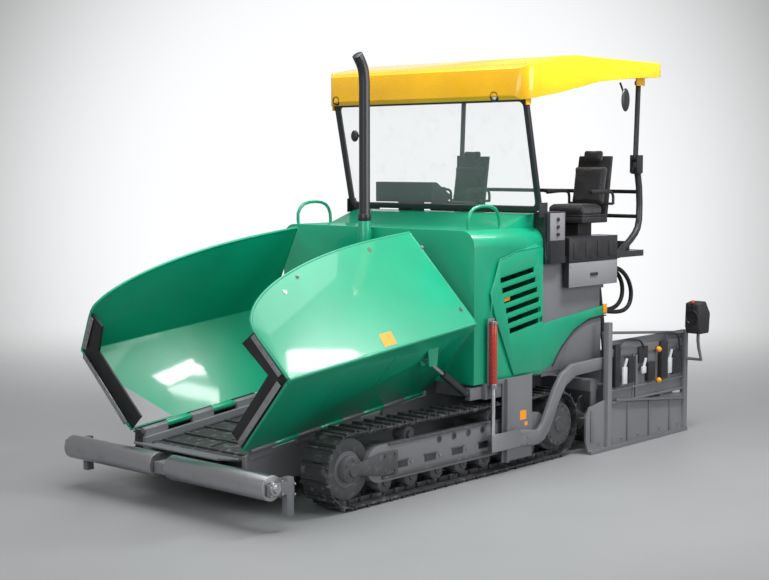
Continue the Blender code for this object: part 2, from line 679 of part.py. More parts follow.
def add_push_roller(name, side):
    start, stop = ROLLER_X
    shaft = rod((0.0755, ROLLER_Y, ROLLER_Z), (stop + 0.0045, ROLLER_Y, ROLLER_Z), 0.030, 16)
    drum = rod((start, ROLLER_Y, ROLLER_Z), (stop, ROLLER_Y, ROLLER_Z), ROLLER_R, 32)
    part(f"{name}_push_roller", STEEL, [drum, shaft], pivot=(start, ROLLER_Y, ROLLER_Z), side=side)


# ---- housings and platform ----

def hood_outline(inset=0.0):
    """Cross-section of the engine housing in X and Z."""
    side, top = HOUSE_X - inset, HOUSE_Z[1] - inset
    low = HOUSE_Z[0] + inset
    corner = 0.14
    return [(-side, low), (side, low), (side, top - corner)] \
        + arc((side - corner, top - corner), corner, 10, 80, 4) \
        + [(side - corner, top), (-side + corner, top)] \
        + arc((-side + corner, top - corner), corner, 100, 170, 4) + [(-side, top - corner)]


def door_outline(inset=0.0):
    """Service door's edge in Y and Z."""
    low, rear = HOUSE_Z[0] + 0.0347 + inset, HOUSE_REAR_Y - 0.020 - inset
    return [(0.160 + inset, low), (rear, low), (rear, 2.010 - 1.2 * inset),
            (0.480 - inset, 2.052 - inset), (-0.050 + inset, 1.925 - 1.3 * inset),
            (-0.190 + 1.5 * inset, 1.640), (-0.120 + inset, 1.440)]


def add_engine_housing():
    outer = prism("y", hood_outline(), WALL_Y, HOUSE_REAR_Y - FIT)
    rear = HOUSE_REAR_Y - FIT
    cowl = prism("x", [(0.100, 2.180), (rear, 2.180), (rear, 2.325), (0.480, 2.310)],
                 -HOUSE_X + 0.110, HOUSE_X - 0.110)
    stub = rod((STACK.x, STACK.y, 1.900), (STACK.x, STACK.y, STACK.z - RUN), 0.062, 16)
    hold = box((STACK.x - 0.030, STACK.y, 1.980), (STACK.x + 0.030, WALL_Y + 0.01, 2.160))
    pieces = [outer, cowl, stub, hold]
    for x in (-HOUSE_X + 0.130, HOUSE_X - 0.130):
        rail = [(x, -0.320, 2.170), (x, -0.330, 2.300), (x, -0.250, 2.390), (x, -0.080, 2.410),
                (x, 0.060, 2.380), (x, 0.120, 2.290), (x, 0.125, 2.170)]
        pieces.append(tube(smooth_path(rail, 2), 0.016, 6))
    inner = prism("y", hood_outline(HOUSE_T), WALL_Y + HOUSE_T, HOUSE_REAR_Y - HOUSE_T)
    tunnel_x = PLATE_X[1] + FIT
    tunnel = box((-tunnel_x, WALL_Y - 0.1, 0.700), (tunnel_x, HOUSE_REAR_Y + 0.1, TUNNEL_TOP + FIT))
    openings = [prism("x", door_outline(0.045), *sorted((place * (HOUSE_X - 0.19), place * (HOUSE_X + 0.11))))
                for place in (1, -1)]
    part("engine_housing", GREEN, pieces, [inner, tunnel, *openings])


def add_service_door(name, side):
    """Gull-wing door: it hangs on its sloping top edge."""
    x = HOUSE_X + FIT
    skin = prism("x", door_outline(), x, x + DOOR_T)
    slots = []
    for index in range(6):
        z = 1.720 - index * 0.093
        y = -0.045 + index * 0.028
        slots.append(prism("x", [(y, z), (y + 0.50, z + 0.075), (y + 0.50, z + 0.122), (y, z + 0.047)],
                           x - 0.01, x + DOOR_T + 0.01))
    part(f"{name}_service_door", GREEN, [skin], slots, (x + DOOR_T, -0.050, 1.925), side)


def add_engine():
    low = TUNNEL_TOP + FIT
    pieces = [box((-0.450, -0.250, low), (0.450, 0.450, 1.850)),
              box((-0.300, -0.200, 1.800), (0.300, 0.350, 2.020))]
    part("engine_block", GREY, pieces)


def add_tank_housing():
    front = HOUSE_REAR_Y + FIT
    low = HOUSE_Z[0]
    outline = [(front, low), (0.940, low), (1.000, 0.980), (1.090, 1.110), (1.220, 1.220), (1.420, 1.290),
               (TANK_REAR_Y, 1.300), (TANK_REAR_Y, DECK_Z[0] - FIT), (front, DECK_Z[0] - FIT)]
    body = prism("x", outline, -TANK_X, TANK_X)
    tunnel_x = PLATE_X[1] + FIT
    tunnel = box((-tunnel_x, front - 0.1, low - 0.1), (tunnel_x, TANK_REAR_Y + 0.1, TUNNEL_TOP + FIT))
    pieces = [body]
    for x in (-1.0, 1.0):
        pieces += lift_cheeks(x * LIFT_X)
    for x in HOSE_X:
        pieces.append(rod((x, TANK_REAR_Y - 0.01, HOSE_TO[1]), (x, *HOSE_TO), HOSE_R + 0.006, 12))
    part("tank_housing", GREY, pieces, [tunnel])


def lift_cheeks(x):
    return cheeks(x, 0.0355, 0.015, (TANK_REAR_Y - 0.01, LIFT_TOP.y + 0.035),
                  (LIFT_TOP.z - 0.050, LIFT_TOP.z + 0.050))


def add_platform():
    low, high = DECK_Z
    front, rear = DECK_Y[0] + FIT, DECK_Y[1]
    pieces = [box((-DECK_X, front, low), (DECK_X, rear, high)),
              box((-SCREEN_CHEEK[1], front, low + 0.01), (SCREEN_CHEEK[1], front + 0.035, 2.325)),
              box((-HOUSE_X + 0.130, rear - 0.030, high - 0.01), (HOUSE_X - 0.130, rear, high + 0.080))]
    hang = (HOSE_X[1] - 0.040, HOSE_X[0] + 0.040)
    pieces.append(box((hang[0], HOSE_FROM[0] - 0.045, HOSE_FROM[1] - 0.045),
                      (hang[1], HOSE_FROM[0] - 0.030, low + 0.01)))
    for x in HOSE_X:
        pieces.append(rod((x, HOSE_FROM[0] - 0.035, HOSE_FROM[1]), (x, *HOSE_FROM), HOSE_R + 0.006, 12))
    for place in (1, -1):
        def span(a, b, sign=place):
            return sorted((a * sign, b * sign))
        x = span(HOUSE_X + FIT, BOX_X)
        pieces.append(box((x[0], 0.950, 1.620), (x[1], 1.780, high)))
        x = span(BOX_X - 0.230, BOX_X)
        pieces.append(box((x[0], 0.950, high - 0.01), (x[1], 1.780, 2.090)))
        x = span(BOX_X - 0.175, BOX_X + 0.005)
        pieces.append(box((x[0], 0.650, low), (x[1], 0.880, 2.340)))
        line = [(POST_X * place, 1.98, 1.87), (POST_X * place, 2.12, 1.96), (POST_X * place, 2.30, 2.08),
                (POST_X * place, 2.375, 2.22), (POST_X * place, 2.365, 2.55), (POST_X * place, 2.315, 2.74)]
        pieces.append(tube(smooth_path(line, 2), 0.034, 8))
        pieces += cheeks(POST_X * place, POST_R + RUN, 0.012, (POST_PIVOT.y - 0.035, 2.365), (2.690, 2.870))
        x = span(POST_X - 0.045, POST_X + 0.040)
        pieces.append(box((x[0], 2.285, 2.680), (x[1], 2.345, 2.745)))
        x = span(*SCREEN_CHEEK)
        pieces.append(box((x[0], SCREEN_FOOT.y - 0.045, 2.290), (x[1], front + 0.035, SCREEN_FOOT.z + 0.060)))
    pieces.append(tube([(-POST_X, 2.370, 2.500), (POST_X, 2.370, 2.500)], 0.022, 6))
    pieces.append(tube([(-POST_X, 2.378, 2.250), (POST_X, 2.378, 2.250)], 0.022, 6))
    part("platform", BLACK, pieces)


def add_seat(name, side):
    x, y = SEAT
    base = [box((x - 0.17, y - 0.20, DECK_Z[1] + FIT), (x + 0.17, y + 0.17, 1.990)),
            box((x - 0.10, y - 0.14, 1.980), (x + 0.10, y + 0.10, 2.210)),
            box((x - 0.22, y - 0.24, 2.200), (x + 0.22, y + 0.20, 2.260))]
    part(f"{name}_seat_base", PLASTIC, base, pivot=(x, y, 2.1), side=side)
    low = 2.260 + FIT
    outline = rounded((y - 0.26, low), (y + 0.22, low + 0.115), 0.045, 3)
    back = [(y + 0.105, low + 0.02), (y + 0.215, low + 0.02), (y + 0.310, 2.900), (y + 0.285, 2.930),
            (y + 0.240, 2.930), (y + 0.210, 2.890)]
    pieces = [prism("x", outline, x - 0.235, x + 0.235), prism("x", back, x - 0.215, x + 0.215)]
    part(f"{name}_seat", FABRIC, pieces, pivot=(x, y, low), side=side)


def add_console():
    """Operator's desk: it slides across the platform on a floor rail."""
    x = -0.600
    y = 0.800
    pieces = [box((x - 0.10, y - 0.06, 1.935), (x + 0.10, y + 0.12, 2.420)),
              box((x - 0.20, y - 0.09, DECK_Z[1] + FIT), (x + 0.20, y + 0.17, 1.950)),
              prism("x", [(y - 0.09, 2.400), (y + 0.14, 2.400), (y + 0.20, 2.440), (y + 0.20, 2.470),
                          (y - 0.02, 2.600),
                          (y - 0.09, 2.600)], x - 0.38, x + 0.38)]
    part("operator_console", PLASTIC, pieces, pivot=(x, y, 2.0))


def add_stack():
    tip = [(STACK.x, STACK.y, STACK.z), (STACK.x, STACK.y, 3.50), (STACK.x, STACK.y - 0.01, 3.62),
           (STACK.x, STACK.y - 0.045, 3.70), (STACK.x, STACK.y - 0.095, 3.77)]
    collar = rod((STACK.x, STACK.y, STACK.z), (STACK.x, STACK.y, STACK.z + 0.06), 0.062, 16)
    pieces = [tube(tip[:2] + smooth_path(tip[1:], 2)[1:], STACK_R, 12), collar]
    part("exhaust_stack", BLACK, pieces, pivot=(STACK.x, STACK.y - 0.062, STACK.z))


# ---- canopy ----

def screen_matrix():
    return Matrix.Translation(SCREEN_FOOT) @ Matrix.Rotation(SCREEN_TILT, 4, "X")


def add_windscreen():
    """Black frame and its pane, leaning forward from the hinge at its foot."""
    low, high = -SCREEN_BAR / 2, SCREEN_LENGTH + SCREEN_BAR / 2
    outer = rounded((-SCREEN_HALF, low), (SCREEN_HALF, high), SCREEN_CORNER, 4)
    inner = rounded((-SCREEN_HALF + SCREEN_BAR, low + SCREEN_BAR),
                    (SCREEN_HALF - SCREEN_BAR, high - SCREEN_BAR), SCREEN_CORNER * 0.7, 4)
    gap = FIT
    pane = rounded((-SCREEN_HALF + SCREEN_BAR + gap, low + SCREEN_BAR + gap),
                   (SCREEN_HALF - SCREEN_BAR - gap, high - SCREEN_BAR - gap), SCREEN_CORNER * 0.7, 4)
    frame = prism("y", outer, -0.022, 0.022)
    hole = prism("y", inner, -0.100, 0.100)
    glass = prism("y", pane, -0.003, 0.003)
    for item in (frame, hole, glass):
        item.data.transform(screen_matrix())
    part("windscreen_frame", BLACK, [frame], [hole], SCREEN_FOOT)
    part("windscreen_glass", GLASS, [glass], pivot=SCREEN_FOOT)


def screen_top():
    return screen_matrix() @ Vector((0, 0, SCREEN_LENGTH))


def roof_profile(inset=0.0):
    """Side view of the roof in Y and Z."""
    front, rear = ROOF_Y[0] + inset, ROOF_Y[1] - inset
    low = 0.5 if inset else 0.0
    lower = [(rear - 0.03, 3.655 - low), (2.150, 3.630 - low), (1.450, 3.566 - low), (0.800, 3.442 - low),
             (front + 0.03, 3.360 - low)]
    upper = [(front, 3.400), (front + 0.015, 3.640 - inset), (front + 0.10, 3.690 - inset),
             (0.800, 3.775 - inset), (1.600, 3.840 - inset), (2.200, 3.860 - inset),
             (rear - 0.10, 3.840 - inset), (rear, 3.745 - inset)]
    return lower + upper


def crown(inset=0.0):
    """Cross-section of the roof's top in X and Z, flat topped with drooping edges."""
    half = ROOF_X - inset
    points = []
    steps = 12
    for step in range(steps + 1):
        x = half - 2 * half * step / steps
        points.append((x, 3.860 - inset - 0.070 * (abs(x) / half) ** 3))
    return [(-half, 2.9), (half, 2.9)] + points


def add_canopy():
    shell = prism("x", roof_profile(), -ROOF_X, ROOF_X)
    wall = 0.035
    plan = prism("z", rounded((-ROOF_X, ROOF_Y[0]), (ROOF_X, ROOF_Y[1]), 0.16, 5), 2.8, 4.2)
    top = prism("y", crown(), ROOF_Y[0] - 0.2, ROOF_Y[1] + 0.2)
    boolean(shell, [plan], "INTERSECT")
    boolean(shell, [top], "INTERSECT")
    hollow = prism("x", roof_profile(wall), -ROOF_X + wall, ROOF_X - wall)
    inner_edge = rounded((-ROOF_X + wall, ROOF_Y[0] + wall), (ROOF_X - wall, ROOF_Y[1] - wall), 0.13, 5)
    inner_plan = prism("z", inner_edge, 2.7, 4.3)
    inner_top = prism("y", crown(wall), ROOF_Y[0] - 0.2, ROOF_Y[1] + 0.2)
    boolean(hollow, [inner_plan], "INTERSECT")
    boolean(hollow, [inner_top], "INTERSECT")
    boolean(shell, [hollow], "DIFFERENCE")
    top_z = screen_top().z
    pieces = [shell]
    for place in (1, -1):
        x = sorted((SCREEN_CHEEK[0] * place, SCREEN_CHEEK[1] * place))
        pieces.append(box((x[0], screen_top().y - 0.035, top_z - 0.058),
                          (x[1], screen_top().y + 0.035, 3.690)))
        post_gap = POST_R + 0.0006
        near = sorted(((POST_X + post_gap) * place, (POST_X + post_gap + 0.014) * place))
        pieces.append(box((near[0], POST_TOP.y - 0.10, POST_TOP.z - 0.030),
                          (near[1], POST_TOP.y + 0.05, 3.80)))
    part("canopy_roof", YELLOW, pieces, pivot=screen_top())


def add_rear_post(name, side):
    half = Vector((POST_R, 0, 0))
    pieces = [rod(POST_PIVOT, POST_TOP, POST_R - 0.004, 12),
              rod(POST_PIVOT - half, POST_PIVOT + half, 0.030, 16),
              rod(POST_TOP - half, POST_TOP + half, 0.026, 16)]
    part(f"{name}_rear_post", BLACK, pieces, pivot=POST_PIVOT, side=side)


# ---- levelling, tow arms and screed ----

def add_levelling(name, side):
    low, high = LEVEL_Z
    barrel = rod((LEVEL_X, LEVEL_Y, low), (LEVEL_X, LEVEL_Y, high), LEVEL_R, 20)
    bore = rod((LEVEL_X, LEVEL_Y, low - 0.01), (LEVEL_X, LEVEL_Y, high - 0.040), LEVEL_ROD_R + FIT, 20)
    recess = box((GUIDE_X[1] - 0.05, LEVEL_Y - 0.1, 0.5), (GUIDE_X[1] + FIT, LEVEL_Y + 0.1, 1.6))
    near, far = LEVEL_Y - 0.045 - FIT, LEVEL_Y + 0.045 + FIT
    seats = [box((GUIDE_X[1] - 0.05, near, z - FIT), (LEVEL_X - 0.036 + FIT, far, z + 0.05 + FIT))
             for z in CLAMP_Z]
    part(f"{name}_levelling_cylinder", RED, [barrel], [bore, recess, *seats], side=side)
    cheek = (ARM_X[1] + RUN, ARM_X[1] + RUN + 0.014)
    pieces = [box((cheek[0], LEVEL_Y - 0.055, TOW_Z - 0.080), (cheek[1], TOW_Y + 0.045, TOW_Z + 0.080)),
              box((GUIDE_X[1] + RUN, LEVEL_Y - 0.045, TOW_Z - 0.070),
                  (cheek[0] + 0.005, LEVEL_Y + 0.045, TOW_Z + 0.070)),
              rod((LEVEL_X, LEVEL_Y, TOW_Z), (LEVEL_X, LEVEL_Y, 1.060), LEVEL_ROD_R, 20),
              rod((ARM_X[0] + 0.002, TOW_Y, TOW_Z), (cheek[0] + 0.005, TOW_Y, TOW_Z), PIN_R, 20)]
    part(f"{name}_tow_slider", STEEL, pieces, pivot=(LEVEL_X, TOW_Y, TOW_Z), side=side)


def add_tow_arm(name, side):
    """Goose-necked arm from the tow point to the screed."""
    outline = [(0.060, 0.250), (0.120, 0.232), (0.460, 0.205), (0.560, 0.235), (0.640, 0.310), (0.790, 0.560),
               (0.900, 0.700), (1.060, 0.775), (1.500, 0.790), (2.300, 0.725), (2.300, 0.840), (1.480, 0.905),
               (1.010, 0.890), (0.840, 0.820), (0.720, 0.690), (0.540, 0.390), (0.470, 0.335), (0.140, 0.385),
               (0.070, 0.360)]
    hole = rod((ARM_X[0] - 0.01, TOW_Y, TOW_Z), (ARM_X[1] + 0.01, TOW_Y, TOW_Z), PIN_R + 2 * RUN, 20)
    part(f"{name}_tow_arm", GREY, [prism("x", outline, *ARM_X)], [hole], (ARM_X[0], TOW_Y, TOW_Z), side)


def add_screed():
    half = SCREED_X
    front, rear = SCREED_Y
    body = prism("x", [(front, 0.110), (front + 0.060, 0.0), (rear, 0.0), (rear, 0.380), (2.120, 0.420),
                       (1.960, 0.600),
                       (front + 0.02, 0.600), (front, 0.500)], -half, half)
    pieces = [body]
    bar_y = SLIDE_BAR[0]
    for x in (-half + 0.127, -0.40, 0.40, half - 0.127):
        edge = bar_y[1] - 0.005
        pieces.append(prism("x", [(2.05, 0.40), (rear - 0.01, 0.37), (edge, 0.44), (edge, 0.755),
                                  (2.20, 0.755)],
                            x - 0.03, x + 0.03))
    pieces.append(box((-half + 0.097, 2.19, 0.40), (half - 0.097, 2.23, 0.755)))
    for place in (1, -1):
        x = sorted(((half - 0.025) * place, half * place))
        wall = [(front + 0.06, 0.10), (2.33, 0.10), (2.33, 0.86), (2.20, 0.90), (1.90, 0.90),
                (front + 0.06, 0.62)]
        pieces.append(prism("x", wall, *x))
        pieces += cheeks(LIFT_X * place, 0.0355, 0.015, (LIFT_FOOT.y - 0.040, LIFT_FOOT.y + 0.040),
                         (0.590, LIFT_FOOT.z + 0.030))
    slots = [box((-2, bar_y[0] - RUN, z[0] - RUN), (2, bar_y[1] + 0.1, z[1] + RUN)) for z in SLIDE_BAR[1:]]
    part("screed_frame", GREY, pieces, slots, pivot=(0, TOW_Y, TOW_Z))


def add_extension(name, side):
    """Half-width rear screed with its end gate, carried by a slide bar across the main screed."""
    front, rear = EXT_Y
    start = 0.005
    bar_y = SLIDE_BAR[0]
    bar_z = SLIDE_BAR[1] if side > 0 else SLIDE_BAR[2]
    body = prism("x", [(front, 0.0), (rear - 0.01, 0.0), (rear, 0.050), (2.900, 0.300), (2.900, 0.420),
                       (2.600, 0.420), (2.600, 0.820), (front, 0.820)], start, SCREED_X)
    end = GATE_X[0] + 0.005
    pieces = [body, box((-1.150, bar_y[0], bar_z[0]), (SCREED_X, bar_y[1], bar_z[1])),
              box((start + 0.01, bar_y[1] - 0.01, bar_z[0]), (SCREED_X, front + 0.01, bar_z[1])),
              box((SCREED_X - 0.02, 2.540, 0.080), (end, 2.900, 0.400)),
              box((SCREED_X - 0.02, 2.540, 0.390), (end, 2.600, 0.780))]
    gate = [(1.180, 0.130), (1.230, 0.0), (3.000, 0.0), (3.000, 0.400), (1.640, 0.440), (1.500, 0.490),
            (1.240, 0.450), (1.180, 0.360)]
    pieces.append(prism("x", gate, *GATE_X))
    out = GATE_X[1] + 0.208
    handle = [(GATE_X[1] + 0.015, 2.972, 0.760), (out, 2.972, 0.760), (out, 2.920, 0.880),
              (out, 2.900, 0.960), (out, 2.900, 1.045)]
    pieces += [box((GATE_X[0], 1.500, 0.020), (GATE_X[1] + 0.035, 1.565, 1.250)),
               box((GATE_X[0], 2.945, 0.020), (GATE_X[1] + 0.035, 3.000, 1.060)),
               box((GATE_X[0], 1.520, 0.900), (GATE_X[1], 2.980, 0.980)),
               box((GATE_X[1] - 0.005, 1.200, 0.0), (GATE_X[1] + 0.050, 2.990, 0.035)),
               box((GATE_X[0] + 0.004, 2.000, 0.420), (GATE_X[1] - 0.004, 2.060, 0.910)),
               tube(handle, 0.018, 6)]
    part(f"{name}_screed_extension", GREY, pieces, pivot=(0, TOW_Y, TOW_Z), side=side)


def add_screed_console(name, side):
    x = GATE_X[1] + 0.208
    low = 1.045 + FIT
    outline = [(2.800, low), (2.975, low), (2.995, 1.250), (2.900, 1.380), (2.780, 1.360), (2.770, 1.120)]
    pieces = [prism("x", outline, x - 0.085, x + 0.085)]
    part(f"{name}_screed_console", PLASTIC, pieces, pivot=(x, 2.9, 1.05), side=side)


def add_lift_cylinder(name, side):
    along = (LIFT_FOOT - LIFT_TOP).normalized()
    mouth = LIFT_TOP + along * 0.500
    inside = LIFT_TOP + along * 0.050
    half = Vector((0.035, 0, 0))
    barrel = [rod(LIFT_TOP, mouth, 0.034, 16), rod(LIFT_TOP - half, LIFT_TOP + half, 0.034, 16)]
    bore = rod(inside, mouth + along * 0.01, 0.0204, 16)
    part(f"{name}_lift_barrel", BLACK, barrel, [bore], LIFT_TOP, side)
    shaft = [rod(LIFT_TOP + along * 0.420, LIFT_FOOT, 0.0198, 16),
             rod(LIFT_FOOT - half, LIFT_FOOT + half, 0.026, 16)]
    part(f"{name}_lift_rod", STEEL, shaft, (), LIFT_FOOT, side)


def build():
    clear_scene()
    add_chassis()
    add_auger_beam()
    add_conveyor()
    add_apron()
    add_push_beam()
    add_engine_housing()
    add_engine()
    add_tank_housing()
    add_platform()
    add_console()
    add_stack()
    add_windscreen()
    add_canopy()
    add_screed()
    add_hose("outer_hose", HOSE_X[0], HOSE_LOOPS[0])
    add_hose("inner_hose", HOSE_X[1], HOSE_LOOPS[1])
    for name, side in SIDES:
        add_track(name, side)
        add_track_frame(name, side)
        add_wing(name, side)
        add_wing_flap(name, side)
        add_wing_cylinder(name, side)
        add_push_roller(name, side)
        add_service_door(name, side)
        add_seat(name, side)
        add_rear_post(name, side)
        add_tow_guide(name, side)
        add_levelling(name, side)
        add_tow_arm(name, side)
        add_extension(name, side)
        add_screed_console(name, side)
        add_lift_cylinder(name, side)
        add_auger(name, side)


build()
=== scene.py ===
"""Looks of a tracked asphalt paver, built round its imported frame.

Metres. Front is -Y, the machine's left side is +X, up is +Z, and the ground is z = 0.
"""
import json
import math

import bmesh
import bpy
from mathutils import Matrix, Vector

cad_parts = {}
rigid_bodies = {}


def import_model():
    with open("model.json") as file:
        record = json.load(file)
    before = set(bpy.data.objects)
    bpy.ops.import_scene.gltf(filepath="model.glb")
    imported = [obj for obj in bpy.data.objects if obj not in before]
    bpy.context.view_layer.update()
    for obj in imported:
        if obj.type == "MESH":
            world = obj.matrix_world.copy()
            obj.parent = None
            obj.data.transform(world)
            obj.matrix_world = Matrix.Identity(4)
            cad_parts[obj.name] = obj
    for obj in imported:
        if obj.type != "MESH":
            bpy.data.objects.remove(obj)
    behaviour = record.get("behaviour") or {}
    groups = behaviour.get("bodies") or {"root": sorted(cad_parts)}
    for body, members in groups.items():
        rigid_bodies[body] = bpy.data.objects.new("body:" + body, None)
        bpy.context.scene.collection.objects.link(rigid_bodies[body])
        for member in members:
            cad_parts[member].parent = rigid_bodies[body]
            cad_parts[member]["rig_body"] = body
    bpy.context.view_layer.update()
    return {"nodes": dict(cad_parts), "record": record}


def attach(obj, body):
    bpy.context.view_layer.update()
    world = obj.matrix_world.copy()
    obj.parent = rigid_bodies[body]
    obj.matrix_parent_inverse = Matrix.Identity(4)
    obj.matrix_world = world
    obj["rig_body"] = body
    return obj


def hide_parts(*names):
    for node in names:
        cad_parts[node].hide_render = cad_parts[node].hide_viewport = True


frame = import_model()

NODES = frame["nodes"]
SIDES = (("left", 1), ("right", -1))


# ---- shader maths ----

class Wire:
    """A node's output that takes part in Python expressions."""

    def __init__(self, finish, socket):
        self.finish = finish
        self.socket = socket

    def sum_with(self, operation, first, second):
        return self.finish.node("ShaderNodeMath", {"operation": operation}, {0: first, 1: second})

    def __add__(self, other):
        return self.sum_with("ADD", self, other)

    __radd__ = __add__

    def __sub__(self, other):
        return self.sum_with("SUBTRACT", self, other)

    def __rsub__(self, other):
        return self.sum_with("SUBTRACT", other, self)

    def __mul__(self, other):
        return self.sum_with("MULTIPLY", self, other)

    __rmul__ = __mul__


class Finish:
    """A procedural material, made node by node."""

    def __init__(self, name):
        self.material = bpy.data.materials.new(name)
        self.material.use_nodes = True
        self.tree = self.material.node_tree
        self.surface = self.tree.nodes["Principled BSDF"]

    def node(self, kind, settings=None, inputs=None, output=0):
        made = self.tree.nodes.new(kind)
        for key, value in (settings or {}).items():
            if key == "stops":
                self.set_stops(made.color_ramp, value)
            else:
                setattr(made, key, value)
        for key, value in (inputs or {}).items():
            self.feed(made.inputs[key], value)
        return Wire(self, made.outputs[output])

    def feed(self, socket, value):
        if isinstance(value, Wire):
            self.tree.links.new(value.socket, socket)
        else:
            socket.default_value = value

    def set_stops(self, ramp, stops):
        while len(ramp.elements) < len(stops):
            ramp.elements.new(0.5)
        for element, (place, value) in zip(ramp.elements, stops):
            element.position = place
            element.color = (value, value, value, 1) if isinstance(value, float) else value

    def set(self, **values):
        for name, value in values.items():
            self.feed(self.surface.inputs[name.replace("_", " ")], value)

    def places(self, scale=(1, 1, 1)):
        """Object coordinates, stretched."""
        spot = self.node("ShaderNodeTexCoord", output="Object")
        if scale == (1, 1, 1):
            return spot
        return self.node("ShaderNodeMapping", None, {"Vector": spot, "Scale": scale})

    def noise(self, scale, detail=3.0, stretch=(1, 1, 1), rough=0.5):
        return self.node("ShaderNodeTexNoise", None,
                         {"Vector": self.places(stretch), "Scale": scale, "Detail": detail, "Roughness": rough})

    def ramp(self, value, low, high, start=0.0, stop=1.0):
        """A value eased from start to stop between two places."""
        return self.node("ShaderNodeMapRange", {"interpolation_type": "SMOOTHSTEP"},
                         {"Value": value, "From Min": low, "From Max": high, "To Min": start, "To Max": stop})

    def blend(self, share, first, second):
        return self.node("ShaderNodeMix", {"data_type": "RGBA"}, {0: share, 6: first, 7: second}, 2)

    def height(self):
        return self.node("ShaderNodeSeparateXYZ", None, {"Vector": self.places()}, "Z")

    def bump(self, value, depth, strength=1.0):
        self.set(Normal=self.node("ShaderNodeBump", None,
                                  {"Strength": strength, "Distance": depth, "Height": value},
                                  "Normal"))


def shade(colour, share):
    return (*(channel * share for channel in colour[:3]), 1)


def paint(name, colour, roughness=0.28, coat=0.6, peel=0.00012, dust=0.25, metal=0.0):
    """Sprayed paint: orange peel, slow colour change, road dust low down and fine rub marks."""
    made = Finish(name)
    broad = made.noise(1.7, 4.0)
    fine = made.noise(38.0, 5.0, (1, 1, 3))
    grime = made.ramp(made.height(), 0.0, 1.1, 1.0, 0.0) * made.ramp(made.noise(6.5, 6.0), 0.42, 0.78) * dust
    tone = made.blend(made.ramp(broad, 0.3, 0.7), shade(colour, 0.93), shade(colour, 1.05))
    made.set(Base_Color=made.blend(grime, tone, (0.21, 0.19, 0.165, 1)),
             Roughness=roughness + made.ramp(fine, 0.45, 0.8, 0.0, 0.10) + grime * 0.35,
             Metallic=metal, Coat_Weight=coat, Coat_Roughness=0.06)
    made.bump(made.noise(420.0, 2.0) + made.noise(90.0, 2.0) * 0.7, peel)
    return made.material


def bare_metal(name, colour, roughness, scratch=0.2, pits=0.0002, stain=0.3):
    """Worked steel: brush marks, rubbed patches and darker stains."""
    made = Finish(name)
    brush = made.noise(60.0, 6.0, (1, 8, 8))
    patch = made.noise(7.0, 6.0)
    stained = made.ramp(patch, 0.5, 0.75) * stain
    made.set(Base_Color=made.blend(stained, colour, shade(colour, 0.35)),
             Roughness=roughness + made.ramp(brush, 0.35, 0.75, -scratch / 2, scratch / 2) + stained * 0.3,
             Metallic=1.0 - stained * 0.5)
    made.bump(brush + made.noise(240.0, 3.0), pits)
    return made.material


def forged(name, colour, rub):
    """Dark forged or cast iron with brighter rubbed spots and a grainy skin."""
    made = Finish(name)
    grain = made.noise(130.0, 6.0)
    rubbed = made.ramp(made.noise(14.0, 5.0), 0.52, 0.72) * rub
    made.set(Base_Color=made.blend(rubbed, colour, (0.34, 0.34, 0.345, 1)),
             Roughness=0.62 - rubbed * 0.25 + made.ramp(grain, 0.4, 0.7, -0.05, 0.08),
             Metallic=0.25 + rubbed * 0.5)
    made.bump(grain + made.noise(35.0, 4.0), 0.0009, 0.7)
    return made.material


def rubber(name, colour=(0.012, 0.012, 0.013, 1), roughness=0.62):
    made = Finish(name)
    grain = made.noise(260.0, 4.0)
    bloom = made.ramp(made.noise(5.0, 5.0), 0.45, 0.8)
    made.set(Base_Color=made.blend(bloom * 0.5, colour, shade(colour, 2.6)),
             Roughness=roughness + made.ramp(grain, 0.4, 0.7, -0.08, 0.1))
    made.bump(grain, 0.0005, 0.6)
    return made.material


def plastic(name, colour, roughness=0.5):
    """Moulded plastic with a leathery grain."""
    made = Finish(name)
    cells = made.node("ShaderNodeTexVoronoi", {"feature": "SMOOTH_F1"},
                      {"Vector": made.places(), "Scale": 420.0}, "Distance")
    wide = made.noise(9.0, 4.0)
    made.set(Base_Color=made.blend(made.ramp(wide, 0.35, 0.7), shade(colour, 0.9), shade(colour, 1.25)),
             Roughness=roughness + made.ramp(wide, 0.3, 0.7, -0.06, 0.08))
    made.bump(cells + made.noise(700.0, 2.0) * 0.3, 0.00025, 0.7)
    return made.material


def woven(name, colour):
    """Hard-wearing seat cloth."""
    made = Finish(name)
    warp = made.node("ShaderNodeTexWave", {"bands_direction": "X"},
                     {"Vector": made.places(), "Scale": 190.0, "Distortion": 0.6}, "Fac")
    weft = made.node("ShaderNodeTexWave", {"bands_direction": "Z"},
                     {"Vector": made.places(), "Scale": 190.0, "Distortion": 0.6}, "Fac")
    weave = warp * weft
    fade = made.ramp(made.noise(11.0, 5.0), 0.4, 0.75)
    made.set(Base_Color=made.blend(fade, colour, shade(colour, 2.2)), Roughness=0.9 - weave * 0.12,
             Sheen_Weight=0.25, Sheen_Roughness=0.5)
    made.bump(weave + made.noise(500.0, 3.0) * 0.4, 0.0007, 0.8)
    return made.material


def pane(name, colour, alpha):
    """Clear glass that lets the light through, with faint patches of dust."""
    made = Finish(name)
    dust = made.ramp(made.noise(7.0, 6.0), 0.5, 0.9) * 0.06
    made.set(Base_Color=colour, Roughness=0.03 + dust, Alpha=alpha + dust, IOR=1.5)
    return made.material


def lens(name, colour, glow):
    made = Finish(name)
    ribs = made.node("ShaderNodeTexWave", {"bands_direction": "Z"},
                     {"Vector": made.places(), "Scale": 60.0}, "Fac")
    made.set(Base_Color=made.blend(ribs, colour, shade(colour, 0.7)), Roughness=0.12 + ribs * 0.08,
             Emission_Color=colour, Coat_Weight=0.8)
    made.surface.inputs["Emission Strength"].default_value = glow
    made.bump(ribs, 0.0008)
    return made.material


